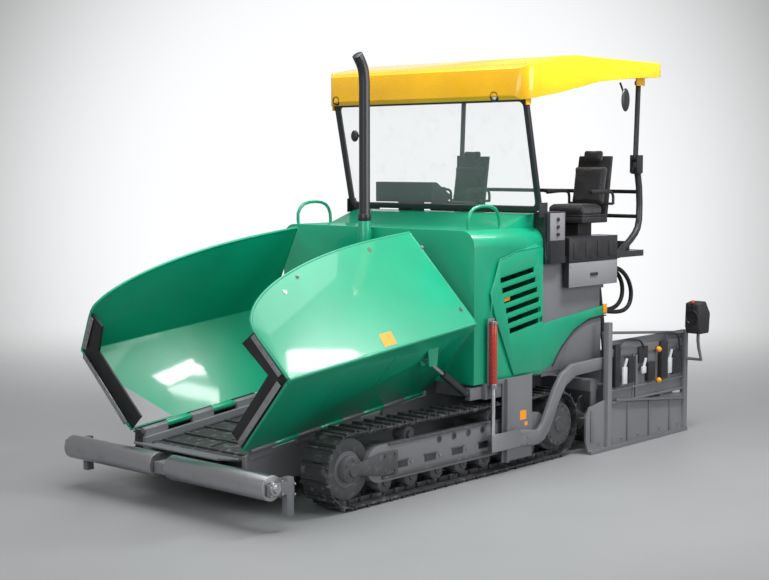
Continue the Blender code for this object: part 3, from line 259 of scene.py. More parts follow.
GREEN = paint("gloss_green", (0.0, 0.36, 0.190, 1), 0.34, 0.42, 0.00003, 0.06)
GREY = paint("satin_grey", (0.170, 0.176, 0.190, 1), 0.42, 0.15, 0.00014, 0.25)
PALE = paint("pale_paint", (0.70, 0.72, 0.75, 1), 0.35, 0.3, 0.00010, 0.1)
LIGHT_GREY = paint("light_grey", (0.26, 0.265, 0.28, 1), 0.38, 0.2, 0.00014, 0.25)
BLACK = paint("satin_black", (0.017, 0.018, 0.022, 1), 0.36, 0.25, 0.00012, 0.3)
YELLOW = paint("gloss_yellow", (1.0, 0.53, 0.006, 1), 0.26, 0.6, 0.00004, 0.06)
RED = paint("gloss_red", (0.52, 0.035, 0.02, 1), 0.26, 0.7, 0.00012, 0.15)
ORANGE = paint("label_orange", (1.0, 0.36, 0.008, 1), 0.45, 0.1, 0.00005, 0.1)
BRUSHED = bare_metal("brushed_steel", (0.42, 0.425, 0.44, 1), 0.38)
IRON = forged("track_iron", (0.052, 0.053, 0.056, 1), 0.55)
CASTING = forged("cast_grey", (0.085, 0.087, 0.092, 1), 0.25)
RUBBER = rubber("black_rubber")
PLASTIC = plastic("dark_plastic", (0.022, 0.022, 0.025, 1))
CLOTH = woven("seat_cloth", (0.012, 0.012, 0.014, 1))
GLASS = pane("clear_glass", (0.62, 0.70, 0.72, 1), 0.10)
CLEAR_LENS = lens("lamp_lens", (0.8, 0.84, 0.9, 1), 0.15)

FINISH_OF_SLOT = {
    "green_paint": GREEN, "grey_paint": GREY, "black_paint": BLACK, "yellow_paint": YELLOW, "red_paint": RED,
    "steel": BRUSHED, "worn_steel": IRON, "rubber": RUBBER, "dark_plastic": PLASTIC, "seat_fabric": CLOTH,
    "clear_glass": GLASS}


# ---- shapes ----

SHARP = 28                        # degrees between faces, past which an edge is rounded
MERGE = 0.00001

def soften(shape, width, segments=2):
    """Round every edge that turns by more than SHARP degrees."""
    if width <= 0:
        return
    sharp = [edge for edge in shape.edges
             if len(edge.link_faces) == 2 and edge.calc_face_angle(0) > math.radians(SHARP)]
    bmesh.ops.bevel(shape, geom=sharp, offset=width, offset_type="OFFSET", segments=segments, profile=0.5,
                    affect="EDGES", clamp_overlap=True, material=-1)


class Piece:
    """One mesh in the making, in world metres. side -1 mirrors all that is added to it."""

    def __init__(self, side=1):
        self.shape = bmesh.new()
        self.side = side

    def join(self, shape, width=0.0):
        bmesh.ops.recalc_face_normals(shape, faces=shape.faces)
        soften(shape, width)
        if self.side < 0:
            bmesh.ops.scale(shape, vec=(-1, 1, 1), verts=shape.verts)
            bmesh.ops.reverse_faces(shape, faces=shape.faces)
        data = bpy.data.meshes.new("scrap")
        shape.to_mesh(data)
        shape.free()
        self.shape.from_mesh(data)
        bpy.data.meshes.remove(data)
        return self

    def block(self, low, high, width=0.004):
        shape = bmesh.new()
        bmesh.ops.create_cube(shape, size=1)
        low, high = Vector(low), Vector(high)
        bmesh.ops.scale(shape, vec=high - low, verts=shape.verts)
        bmesh.ops.translate(shape, vec=(low + high) / 2, verts=shape.verts)
        return self.join(shape, width)

    def rod(self, start, end, radius, sides=20, width=0.0):
        start, end = Vector(start), Vector(end)
        along = end - start
        shape = bmesh.new()
        bmesh.ops.create_cone(shape, cap_ends=True, segments=sides, radius1=radius, radius2=radius,
                              depth=along.length)
        turn = Vector((0, 0, 1)).rotation_difference(along).to_matrix().to_4x4()
        bmesh.ops.transform(shape, matrix=Matrix.Translation((start + end) / 2) @ turn, verts=shape.verts)
        return self.join(shape, width)

    def ball(self, centre, radius, squash=(1, 1, 1), sides=20):
        shape = bmesh.new()
        bmesh.ops.create_uvsphere(shape, u_segments=sides, v_segments=sides // 2, radius=radius)
        bmesh.ops.scale(shape, vec=squash, verts=shape.verts)
        bmesh.ops.translate(shape, vec=centre, verts=shape.verts)
        return self.join(shape)

    def slab(self, corners, push, width=0.003):
        """A flat plate: a loop of corners pushed along a vector."""
        shape = bmesh.new()
        face = shape.faces.new([shape.verts.new(corner) for corner in corners])
        pushed = bmesh.ops.extrude_face_region(shape, geom=[face])
        moved = [item for item in pushed["geom"] if isinstance(item, bmesh.types.BMVert)]
        bmesh.ops.translate(shape, vec=push, verts=moved)
        return self.join(shape, width)

    def side_plate(self, outline, low, high, width=0.003):
        """An outline in Y and Z, pushed along X."""
        return self.slab([(low, y, z) for y, z in outline], (high - low, 0, 0), width)

    def lathe(self, outline, centre, axis, sides=32):
        """A profile of (radius, distance along the axis), spun a full turn."""
        axis = Vector(axis).normalized()
        shape = bmesh.new()
        points = [shape.verts.new((radius, 0, along)) for radius, along in outline]
        edges = [shape.edges.new(pair) for pair in zip(points, points[1:])]
        bmesh.ops.spin(shape, geom=points + edges, cent=(0, 0, 0), axis=(0, 0, 1), angle=2 * math.pi,
                       steps=sides, use_merge=True)
        bmesh.ops.remove_doubles(shape, verts=shape.verts, dist=MERGE)
        turn = Vector((0, 0, 1)).rotation_difference(axis).to_matrix().to_4x4()
        bmesh.ops.transform(shape, matrix=Matrix.Translation(centre) @ turn, verts=shape.verts)
        return self.join(shape)

    def pipe(self, points, radius, sides=10, smooth=5):
        """A round bar or hose through points."""
        path = smooth_path(points, smooth) if smooth > 1 else points
        curve = link("line", poly_curve("line", path, radius, max(0, (sides - 4) // 2)))
        data = bpy.data.meshes.new_from_object(curve.evaluated_get(bpy.context.evaluated_depsgraph_get()))
        bpy.data.objects.remove(curve, do_unlink=True)
        shape = bmesh.new()
        shape.from_mesh(data)
        bmesh.ops.remove_doubles(shape, verts=shape.verts, dist=MERGE)
        bpy.data.meshes.remove(data)
        return self.join(shape)

    def stamp(self, data, matrix):
        """A copy of a ready mesh, put in place by a matrix."""
        shape = bmesh.new()
        shape.from_mesh(data)
        bmesh.ops.transform(shape, matrix=matrix, verts=shape.verts)
        return self.join(shape)

    def bolts(self, places, axis, radius=0.011, height=0.008):
        """Hexagon heads standing on a face."""
        axis = Vector(axis).normalized()
        for place in places:
            self.rod(Vector(place) - axis * 0.002, Vector(place) + axis * height, radius, 6, 0.001)
        return self

    def mesh(self, name):
        data = bpy.data.meshes.new(name)
        self.shape.to_mesh(data)
        self.shape.free()
        return data

    def finish(self, name, body, material, slot, replaces=(), least=35):
        """The finished object, riding on its body."""
        return place_piece(name, self.mesh(name), body, material, replaces, least)


def link(name, data):
    item = bpy.data.objects.new(name, data)
    bpy.context.scene.collection.objects.link(item)
    return item


def poly_curve(name, path, radius, resolution):
    """A round bar as a curve of straight steps."""
    line = bpy.data.curves.new(name, "CURVE")
    line.dimensions = "3D"
    line.bevel_depth = radius
    line.bevel_resolution = resolution
    line.use_fill_caps = True
    spline = line.splines.new("POLY")
    spline.points.add(len(path) - 1)
    for point, place in zip(spline.points, path):
        point.co = (*place, 1)
    return line


def place_piece(name, data, body, material, replaces=(), least=35):
    item = link(name, data)
    data.materials.clear()
    data.materials.append(material)
    data.shade_smooth()
    data.set_sharp_from_angle(angle=math.radians(least))
    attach(item, body)
    if replaces:
        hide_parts(*replaces)
    return item


def smooth_path(points, steps=5):
    """Points on a smooth curve through the given ones."""
    points = [Vector(point) for point in points]
    ends = [points[0] * 2 - points[1]] + points + [points[-1] * 2 - points[-2]]
    path = []
    for before, here, there, after in zip(ends, ends[1:], ends[2:], ends[3:]):
        for step in range(steps):
            t = step / steps
            path.append(0.5 * (2 * here + (there - before) * t
                               + (2 * before - 5 * here + 4 * there - after) * t ** 2
                               + (3 * here - before - 3 * there + after) * t ** 3))
    return path + [points[-1]]


def node_shape(node):
    """A merged copy of a frame node's mesh, its flat faces whole again."""
    shape = bmesh.new()
    shape.from_mesh(NODES[node].data)
    bmesh.ops.remove_doubles(shape, verts=shape.verts, dist=0.00002)
    bmesh.ops.dissolve_limit(shape, angle_limit=math.radians(1.0), use_dissolve_boundaries=False,
                             verts=shape.verts, edges=shape.edges)
    return shape


def slot_of(node):
    return next(row["material_slot"] for row in frame["record"]["subparts"] if row["node"] == node)


def softened(node, width):
    """A frame node again with rounded edges, standing for it."""
    slot = slot_of(node)
    shape = node_shape(node)
    soften(shape, width)
    data = bpy.data.meshes.new(node + "_skin")
    shape.to_mesh(data)
    shape.free()
    place_piece(node + "_skin", data, NODES[node]["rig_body"], FINISH_OF_SLOT[slot], (node,))


ROUNDING = {                      # edge radius of each kind of node
    "chassis_frame": 0.003, "conveyor_floor": 0.002, "engine_housing": 0.008, "tank_housing": 0.012,
    "platform": 0.004, "front_apron": 0.003, "push_beam": 0.006, "operator_console": 0.012,
    "canopy_roof": 0.012, "windscreen_frame": 0.006, "screed_frame": 0.004, "engine_block": 0.010,
    "exhaust_stack": 0.002, "auger_beam": 0.004, "tow_guide": 0.003, "track_frame": 0.004, "wing": 0.004,
    "wing_flap": 0.003, "push_roller": 0.006, "service_door": 0.004, "seat_base": 0.008,
    "levelling_cylinder": 0.002, "tow_slider": 0.003, "tow_arm": 0.007, "screed_extension": 0.003,
    "screed_console": 0.012, "auger": 0.002}
REMADE = ("track", "seat", "outer_hose", "inner_hose")


def cover_nodes():
    for node in NODES:
        kind = node.removeprefix("left_").removeprefix("right_")
        if kind in ROUNDING:
            softened(node, ROUNDING[kind])
        elif kind not in REMADE:
            NODES[node].data.materials.clear()
            NODES[node].data.materials.append(FINISH_OF_SLOT[slot_of(node)])


cover_nodes()


# ---- tracks ----

AXLE_FRONT, AXLE_REAR = -1.95, 0.88
TRACK_R = 0.33                    # over the grousers, and the axles' height
TRACK_X = 1.0525                  # middle of the track
TRACK_HALF = 0.1525
SHOE_PITCH = 0.1438
SHOE_R = TRACK_R - 0.022          # outer face of a shoe
SHOE_T = 0.014
LINK_R = 0.2535                   # inner edge of the links
COVER_X = 1.1805                  # outer face of the track frame
ALONG_X = (1, 0, 0)


def shoe():
    """One shoe with its grouser, bolts and pair of links, upright above the origin at its own radius."""
    made = Piece()
    reach = SHOE_PITCH * 0.47
    made.block((-TRACK_HALF, -reach, SHOE_R - SHOE_T), (TRACK_HALF, reach, SHOE_R), 0)
    made.block((-TRACK_HALF, reach - 0.026, SHOE_R - 0.001), (TRACK_HALF, reach - 0.010, TRACK_R - 0.0015), 0)
    made.block((-TRACK_HALF, -reach + 0.012, SHOE_R - 0.001), (TRACK_HALF, -reach + 0.024, SHOE_R + 0.010), 0)
    for x in (-0.052, 0.052):
        made.block((x - 0.013, -0.066, LINK_R), (x + 0.013, 0.066, SHOE_R - 0.013), 0.004)
        made.rod((x - 0.020, 0.048, 0.273), (x + 0.020, 0.048, 0.273), 0.015, 8)
    for x in (-0.095, 0.095):
        made.rod((x, 0.0, SHOE_R - 0.002), (x, 0.0, SHOE_R + 0.006), 0.011, 6)
    return made.mesh("shoe")


def loop_station(distance):
    """Where a shoe stands: a matrix that turns it outwards at some distance round the loop."""
    straight = AXLE_REAR - AXLE_FRONT
    turn = math.pi * SHOE_R
    if distance < straight:
        place, angle = AXLE_FRONT + distance, -180.0
    elif distance < straight + turn:
        place, angle = AXLE_REAR, math.degrees((distance - straight) / SHOE_R) - 180
    elif distance < 2 * straight + turn:
        place, angle = AXLE_REAR - (distance - straight - turn), 0.0
    else:
        place, angle = AXLE_FRONT, math.degrees((distance - 2 * straight - turn) / SHOE_R)
    return Matrix.Translation((TRACK_X, place, TRACK_R)) @ Matrix.Rotation(math.radians(angle), 4, "X")


def make_track(name, side, template):
    length = 2 * (AXLE_REAR - AXLE_FRONT) + 2 * math.pi * SHOE_R
    count = round(length / SHOE_PITCH)
    track = Piece(side)
    for index in range(count):
        track.stamp(template, loop_station((index + 0.5) * length / count))
    track.finish(f"{name}_track_chain", "chassis", IRON, "worn_steel", (f"{name}_track",))


def ring_of(x, y, radius, count, start=0.0):
    """Places of bolts round a wheel on an axle's height."""
    angles = [math.radians(start + 360 * index / count) for index in range(count)]
    return [(x, y + radius * math.cos(angle), TRACK_R + radius * math.sin(angle)) for angle in angles]


def make_wheels(trim, dark):
    rim = [(0.150, 0.0), (0.165, 0.010), (0.228, 0.010), (0.250, 0.004), (0.250, -0.004), (0.150, -0.004)]
    for y in (AXLE_FRONT, AXLE_REAR):
        trim.lathe(rim, (1.121, y, TRACK_R), ALONG_X, 40)
    idler_x, drive_x = 1.186, 1.2058
    trim.lathe([(0.0, 0.022), (0.050, 0.020), (0.058, 0.006), (0.080, 0.004), (0.108, 0.0), (0.108, -0.01)],
               (idler_x, AXLE_FRONT, TRACK_R), ALONG_X, 32)
    trim.bolts(ring_of(idler_x, AXLE_FRONT, 0.083, 6, 30), ALONG_X, 0.010, 0.010)
    trim.lathe([(0.0, 0.014), (0.070, 0.013), (0.076, 0.004), (0.150, 0.003), (0.198, 0.0), (0.198, -0.02)],
               (drive_x, AXLE_REAR, TRACK_R), ALONG_X, 48)
    trim.bolts(ring_of(drive_x + 0.0017, AXLE_REAR, 0.172, 15), ALONG_X, 0.011, 0.009)
    for index in range(7):
        y = AXLE_FRONT + 0.42 + index * 0.335
        trim.lathe([(0.0, 0.026), (0.034, 0.024), (0.040, 0.008), (0.062, 0.006), (0.082, 0.0), (0.082, -0.01)],
                   (1.1505, y, 0.1625), ALONG_X, 24)
        # A dark disc on each roller's hub is painted shade for the hub's hole.
        dark.lathe([(0.0, 0.004), (0.018, 0.003), (0.020, -0.002)], (1.176, y, 0.1625), ALONG_X, 12)
    for y in (AXLE_FRONT + 0.75, AXLE_REAR - 0.95):
        trim.lathe([(0.0, 0.03), (0.030, 0.028), (0.034, 0.008), (0.067, 0.006), (0.067, -0.01)],
                   (1.1205, y, 0.5127), ALONG_X, 20)


def make_track_frame_trim(name, side):
    # dark holds painted shade: thin black discs and slots where the frame has a hole or slot, and on the roller
    # hubs.
    trim, dark, bright = Piece(side), Piece(side), Piece(side)
    make_wheels(trim, dark)
    for y in (-0.86, -0.66, -0.46, -0.26):
        dark.rod((COVER_X - 0.002, y, 0.430), (COVER_X + 0.0015, y, 0.430), 0.021, 20)
        trim.lathe([(0.022, 0.0), (0.022, 0.004), (0.031, 0.004), (0.033, 0.0)], (COVER_X - 0.001, y, 0.430),
                   ALONG_X, 20)
    for y in (-1.35, -0.98, -0.61, -0.24, 0.13):
        dark.block((COVER_X - 0.002, y - 0.075, 0.262), (COVER_X + 0.0015, y + 0.075, 0.318), 0)
        trim.block((COVER_X - 0.002, y - 0.088, 0.320), (COVER_X + 0.010, y + 0.088, 0.330), 0.002)
        bright.bolts([(COVER_X, y + 0.125, 0.292)], ALONG_X, 0.013, 0.010)
    trim.block((1.172, -1.60, 0.196), (1.196, 0.42, 0.222), 0.004)
    trim.block((1.172, -1.52, 0.470), (1.192, 0.36, 0.488), 0.004)
    fork = [(-1.93, 0.285), (-1.62, 0.235), (-1.42, 0.235), (-1.42, 0.425), (-1.62, 0.425), (-1.93, 0.375)]
    trim.side_plate(fork, 1.181, 1.203, 0.006)
    trim.bolts([(1.203, y, z) for y in (-1.58, -1.46) for z in (0.262, 0.398)], ALONG_X, 0.012, 0.009)
    trim.finish(f"{name}_track_frame_trim", "chassis", CASTING, "grey_paint")
    dark.finish(f"{name}_track_frame_holes", "chassis", BLACK, "black_paint")
    bright.finish(f"{name}_track_frame_bolts", "chassis", BRUSHED, "steel")


def make_tracks():
    template = shoe()
    for name, side in SIDES:
        make_track(name, side, template)
        make_track_frame_trim(name, side)
    bpy.data.meshes.remove(template)


make_tracks()


# ---- hopper wings ----

SLOPE = 0.105
HINGE = Vector((0.670, -2.55, 0.520))
CREASE = (1.285, 0.665)                # x, and rise above the hinge line
RIM = (0.700, 1.467)
NOSE_Y, NOSE_RISE = -2.86, 1.050       # where the rounded top front corner starts
ROUND_FROM_Y = -1.10                   # and where it meets the level rim
UPPER_NORMAL = Vector((0.8064, -0.0618, 0.5882))
LOWER_NORMAL = Vector((0.730, 0.0700, -0.680))
LIP_R = 0.0125


def hinge_z(y):
    return HINGE.z + SLOPE * (y - HINGE.y)


def on_upper(y, rise, out=0.0):
    """A point on the upper panel's middle plane, or out from it."""
    lean = (RIM[0] - CREASE[0]) / (RIM[1] - CREASE[1])
    return Vector((CREASE[0] + lean * (rise - CREASE[1]), y, hinge_z(y) + rise)) + UPPER_NORMAL * out


def on_lower(y, rise, out=0.0):
    """The same on the lower panel."""
    share = rise / CREASE[1]
    return Vector((HINGE.x + (CREASE[0] - HINGE.x) * share, y, hinge_z(y) + rise)) + LOWER_NORMAL * out


def rim_line():
    """The upper panel's top edge from its rear corner to the nose."""
    points = [on_upper(-0.71, RIM[1])]
    steps = 8
    for step in range(steps + 1):
        turn = step / steps * math.pi / 2
        points.append(on_upper(ROUND_FROM_Y + (NOSE_Y - ROUND_FROM_Y) * math.sin(turn),
                               NOSE_RISE + (RIM[1] - NOSE_RISE) * math.cos(turn)))
    return points


def make_wing_lips(name, side):
    lip = Piece(side)
    lip.pipe([*rim_line(), on_upper(-2.81, 0.85), on_upper(-2.762, 0.68)], LIP_R + 0.001, 10, 3)
    lip.pipe([on_upper(-0.708, RIM[1]), on_upper(-0.60, 1.06), on_upper(-0.50, 0.69)], LIP_R, 10, 3)
    lip.pipe([on_lower(-2.758, 0.64), on_lower(-2.73, 0.35), on_lower(-2.702, 0.06)], LIP_R, 10, 3)
    lip.pipe([on_lower(-0.505, 0.64), on_lower(-0.482, 0.35), on_lower(-0.462, 0.06)], LIP_R, 10, 3)
    lip.pipe([on_upper(-2.76, 0.667), on_upper(-0.50, 0.667)], 0.0160, 12, 1)
    for y in (-2.1, -1.45, -0.80):
        rib = [on_lower(y, rise, out) for rise, out in ((0.60, 0.009), (0.26, 0.009), (0.30, 0.014),
                                                        (0.56, 0.016))]
        lip.slab(rib, (0, 0.016, 0), 0.002)
    lip.finish(f"{name}_wing_trim", f"{name}_wing", GREEN, "green_paint")


def make_wing_fittings(name, side):
    body = f"{name}_wing"
    # Black discs on the upper panel are painted shade: they stand for the shade inside each hole.
    hole_shade = Piece(side)
    for y, rise in ((-2.397, 1.240), (-1.279, 1.403), (-0.595, 0.799)):
        spot = on_upper(y, rise, 0.0095)
        hole_shade.rod(spot, spot + UPPER_NORMAL * 0.0030, 0.021, 20)
    hole_shade.finish(f"{name}_wing_holes", body, BLACK, "black_paint")
    clip = Piece(side)
    for y, rise in ((-0.66, 1.33), (-2.20, 1.325)):
        clip.ball(on_upper(y, rise, 0.010), 0.017, sides=12)
    clip.finish(f"{name}_wing_clips", body, LIGHT_GREY, "grey_paint")
    plate = Piece(side)
    plate.slab([on_upper(y, rise, 0.010) for y, rise in ((-1.665, 0.690), (-1.520, 0.690), (-1.520, 0.785),
                                                        (-1.665, 0.785))], UPPER_NORMAL * 0.002, 0.0)
    plate.finish(f"{name}_wing_plate", body, ORANGE, "yellow_paint")
    corner = Piece(side)
    corner.slab([on_lower(y, rise, -0.0112) for y, rise in ((-2.665, 0.035), (-2.250, 0.035), (-2.665, 0.440))],
                LOWER_NORMAL * -0.003, 0.0)
    corner.finish(f"{name}_wing_corner", body, LIGHT_GREY, "grey_paint")


def make_flap_clamp(name, side):
    """Steel strips that hold the rubber flap to the front edge, each with five bolts."""
    clamp = Piece(side)
    forward = Vector((0, -0.008, 0))
    for (y0, rise0), (y1, rise1), place in (((-2.742, 0.07), (-2.790, 0.615), on_lower),
                                            ((-2.785, 0.72), (-2.862, 1.02), on_upper)):
        corners = [place(y0, rise0, -0.012), place(y1, rise1, -0.012), place(y1, rise1, -0.062),
                   place(y0, rise0, -0.062)]
        clamp.slab(corners, forward, 0.002)
        start, stop = (corners[0] + corners[3]) / 2, (corners[1] + corners[2]) / 2
        for share in (0.08, 0.29, 0.5, 0.71, 0.92):
            clamp.bolts([start.lerp(stop, share) + forward], (0, -1, 0), 0.010, 0.007)
    clamp.finish(f"{name}_flap_clamp", f"{name}_wing", BRUSHED, "steel")


for name, side in SIDES:
    make_wing_lips(name, side)
    make_wing_fittings(name, side)
    make_flap_clamp(name, side)


# ---- hoses ----

HOSE_R = 0.022
HOSE_ENDS = ((2.0403, 1.745), (1.6803, 1.340))         # y, z at the platform and at the tank
HOSES = (("outer", 0.950, [(2.090, 1.745), (2.210, 1.732), (2.345, 1.682), (2.455, 1.590), (2.512, 1.468),
                           (2.490, 1.352), (2.400, 1.290), (2.270, 1.276), (2.100, 1.290), (1.930, 1.315),
                           (1.800, 1.336), (1.740, 1.340)]),
         ("inner", 0.890, [(2.090, 1.745), (2.190, 1.732), (2.300, 1.690), (2.395, 1.610), (2.440, 1.510),
                           (2.425, 1.408), (2.352, 1.338), (2.240, 1.306), (2.090, 1.304), (1.930, 1.320),
                           (1.800, 1.336), (1.740, 1.340)]))


def make_hose(name, x, loop):
    first, last = (Vector((x, *end)) for end in HOSE_ENDS)
    path = [first, *smooth_path([(x, *point) for point in loop], 4), last]
    line = poly_curve(f"{name}_screed_hose", path, HOSE_R, 4)
    line.splines[0].use_smooth = True
    line.materials.append(RUBBER)
    hose = link(f"{name}_screed_hose", line)
    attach(hose, "chassis")
    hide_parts(f"{name}_hose")
    length = sum((there - here).length for here, there in zip(path, path[1:]))


def make_ferrules():
    ferrules = Piece()
    for _, x, _ in HOSES:
        for y, z in HOSE_ENDS:
            ferrules.lathe([(0.0225, 0.0), (0.029, 0.0), (0.029, 0.038), (0.0255, 0.044), (0.0225, 0.044)],
                           (x, y, z), (0, 1, 0), 24)
    ferrules.finish("hose_ferrules", "chassis", BRUSHED, "steel")


for name, x, loop in HOSES:
    make_hose(name, x, loop)
make_ferrules()


# ---- seats ----

SEAT = (0.780, 1.780)             # x, y of the swivel
SEAT_LOW = 2.2603
PAD_GAP = (0.012, 0.010, 0.008)   # how much smaller a pad starts than it ends
BLOW_FRAMES = 20


def at_seat(x, y, z):
    """A place given from the swivel and the seat's underside."""
    return (SEAT[0] + x, SEAT[1] + y, SEAT_LOW + z)


def cushion(name, low, high, round_by, lean, cap):
    """A rounded foam block, leaned back, gridded and blown up a little."""
    made = Piece()
    made.block([place + gap for place, gap in zip(low, PAD_GAP)],
               [place - gap for place, gap in zip(high, PAD_GAP)], 0)
    soften(made.shape, round_by, 3)
    if lean:
        foot = Vector(((low[0] + high[0]) / 2, low[1], low[2]))
        bmesh.ops.transform(made.shape, verts=made.shape.verts, matrix=Matrix.Translation(foot)
                            @ Matrix.Rotation(-lean, 4, "X") @ Matrix.Translation(-foot))
    item = link(name, made.mesh(name))
    remesh = item.modifiers.new("grid", "REMESH")
    remesh.mode = "VOXEL"
    remesh.voxel_size = 0.0065
    apply_modifiers(item)
    blow_up(item, cap)
    return item


def apply_modifiers(item):
    graph = bpy.context.evaluated_depsgraph_get()
    data = bpy.data.meshes.new_from_object(item.evaluated_get(graph))
    item.modifiers.clear()
    item.data = data


def blow_up(item, cap):
    """Cloth under pressure for a moment, each point kept within cap of its start."""
    start = [vertex.co.copy() for vertex in item.data.vertices]
    cloth = item.modifiers.new("cloth", "CLOTH")
    cloth.settings.use_pressure = True
    cloth.settings.uniform_pressure_force = 4.0
    cloth.settings.effector_weights.gravity = 0.0
    cloth.settings.quality = 4
    cloth.point_cache.frame_start, cloth.point_cache.frame_end = 1, BLOW_FRAMES
    for frame_number in range(1, BLOW_FRAMES + 1):
        bpy.context.scene.frame_set(frame_number)
    apply_modifiers(item)
    bpy.context.scene.frame_set(1)
    for vertex, before in zip(item.data.vertices, start):
        moved = vertex.co - before
        if moved.length > cap:
            vertex.co = before + moved * (cap / moved.length)


def settle_pad(item, name, body, side, replaces=()):
    """A pad's own copy for one side."""
    shape = bmesh.new()
    shape.from_mesh(item.data)
    bmesh.ops.smooth_vert(shape, verts=shape.verts, factor=0.5, use_axis_x=True, use_axis_y=True,
                          use_axis_z=True)
    if side < 0:
        bmesh.ops.scale(shape, vec=(-1, 1, 1), verts=shape.verts)
        bmesh.ops.reverse_faces(shape, faces=shape.faces)
    data = bpy.data.meshes.new(name)
    shape.to_mesh(data)
    shape.free()
    pad = place_piece(name, data, body, CLOTH, replaces, 60)


def make_seat_shell(name, side):
    shell = Piece(side)
    shell.block(at_seat(-0.215, -0.235, 0.0), at_seat(0.215, 0.215, 0.022), 0.008)
    back = [(0.185, 0.0), (0.235, 0.0), (0.325, 0.600), (0.300, 0.600)]
    shell.slab([at_seat(-0.200, y, z) for y, z in back], (0.400, 0, 0), 0.010)
    for x in (-0.055, 0.055):
        shell.rod(at_seat(x, 0.292, 0.50), at_seat(x, 0.308, 0.62), 0.008, 10)
    for x in (-0.265, 0.265):
        rest = [(0.230, 0.12), (0.215, 0.225), (0.10, 0.245), (-0.16, 0.235)]
        shell.pipe([at_seat(x, y, z) for y, z in rest], 0.014, 8)
        shell.block(at_seat(x - 0.028, -0.180, 0.235), at_seat(x + 0.028, 0.110, 0.270), 0.010)
        shell.rod(at_seat(x, 0.228, 0.125), at_seat(math.copysign(0.18, x), 0.205, 0.125), 0.013, 10)
    shell.finish(f"{name}_seat_shell", f"{name}_seat", PLASTIC, "dark_plastic")


def make_seats():
    squab = cushion("squab_form", at_seat(-0.225, -0.250, 0.012), at_seat(0.225, 0.150, 0.118),
                    0.035, 0.0, 0.014)
    back = cushion("back_form", at_seat(-0.205, 0.130, 0.110), at_seat(0.205, 0.215, 0.520),
                   0.030, 0.150, 0.014)
    head = cushion("head_form", at_seat(-0.120, 0.222, 0.545), at_seat(0.120, 0.290, 0.668),
                   0.025, 0.150, 0.010)
    for name, side in SIDES:
        body = f"{name}_seat"
        settle_pad(squab, f"{name}_seat_squab", body, side, (f"{name}_seat",))
        settle_pad(back, f"{name}_seat_back_pad", body, side)
        settle_pad(head, f"{name}_seat_head_pad", body, side)
        make_seat_shell(name, side)
    for form in (squab, back, head):
        bpy.data.objects.remove(form, do_unlink=True)


make_seats()


# ---- hopper floor ----

FLOOR_END = (1.25, 0.8195)        # y, z where the sloping floor stops


def floor_z(y):
    return FLOOR_END[1] - SLOPE * (FLOOR_END[0] - y)


def make_conveyor_bars():
    bars = Piece()
    for index in range(11):
        y = -2.47 + index * 0.235
        bars.block((-0.545, y - 0.016, floor_z(y)), (0.545, y + 0.016, floor_z(y) + 0.016), 0.003)
    front, rear, chain = -2.50, 0.0, 0.008
    for x in (-0.555, -0.010, 0.535):
        corners = [(x, front, floor_z(front)), (x, rear, floor_z(rear)), (x, rear, floor_z(rear) + chain),
                   (x, front, floor_z(front) + chain)]
        bars.slab(corners, (0.020, 0, 0), 0.0)
    bars.finish("conveyor_bars", "chassis", IRON, "worn_steel")


make_conveyor_bars()


# ---- engine house ----

DOOR_X = 1.2085                   # just outside the door's face
SLOT = (-0.045, 1.720)            # y, z of the lowest corner of the top slot
SLOT_STEP = (0.028, -0.093)       # from one slot to the one below
TANK_X = 1.1705
LOCKER_X = 1.2503                 # just outside the lockers' face


def make_door_trim(name, side):
    body = f"{name}_service_door"
    lips = Piece(side)
    low, high = DOOR_X - 0.001, DOOR_X + 0.009
    for index in range(6):
        y, z = SLOT[0] + SLOT_STEP[0] * index, SLOT[1] + SLOT_STEP[1] * index
        lips.slab([(low, y - 0.004, z + 0.047), (low, y + 0.504, z + 0.123), (high, y + 0.504, z + 0.129),
                   (high, y - 0.004, z + 0.053)], (0, 0, 0.004), 0.0)
    seam = [(-0.165, 1.19), (-0.180, 1.42), (-0.060, 1.93), (0.560, 2.025)]
    lips.pipe([(DOOR_X, y, z) for y, z in seam], 0.005, 8, 2)
    lips.finish(f"{name}_louvre_lips", body, GREEN, "green_paint")
    amber = Piece(side)
    amber.side_plate([(0.012, 1.548), (0.108, 1.562), (0.108, 1.592), (0.012, 1.578)], 1.1935, 1.1975, 0.001)
    amber.finish(f"{name}_door_reflector", body, ORANGE, "yellow_paint")


def make_fender(name, side):
    """Green strip over the wheel arch, its rubber edge, the panel behind and the side marker."""
    strip = Piece(side)
    strip.side_plate([(0.621, 1.300), (1.690, 1.405), (1.722, 1.372), (1.722, 1.315), (1.400, 1.292),
                      (1.150, 1.205), (0.930, 1.050), (0.800, 0.905), (0.621, 0.850)],
                     TANK_X, TANK_X + 0.0085, 0.003)
    strip.finish(f"{name}_side_fender", "chassis", GREEN, "green_paint")
    seal = Piece(side)
    seal.pipe([(TANK_X + 0.004, y, z) for y, z in ((0.81, 0.885), (0.94, 1.035), (1.16, 1.190), (1.41, 1.277),
                                                   (1.71, 1.300))], 0.007, 8, 4)
    seal.finish(f"{name}_arch_seal", "chassis", RUBBER, "rubber")
    panel = Piece(side)
    panel.side_plate([(0.650, 0.800), (1.640, 0.800), (1.640, 1.330), (0.650, 1.220)], 1.1480, 1.1600, 0.003)
    panel.bolts([(1.1600, y, 0.840) for y in (0.95, 1.20, 1.45)], ALONG_X, 0.010, 0.007)
    panel.finish(f"{name}_arch_panel", "chassis", GREY, "grey_paint")
    lamp = Piece(side)
    lamp.block((TANK_X + 0.009, 1.640, 1.325), (TANK_X + 0.020, 1.705, 1.415), 0.004)
    lamp.finish(f"{name}_side_marker", "chassis", ORANGE, "yellow_paint")


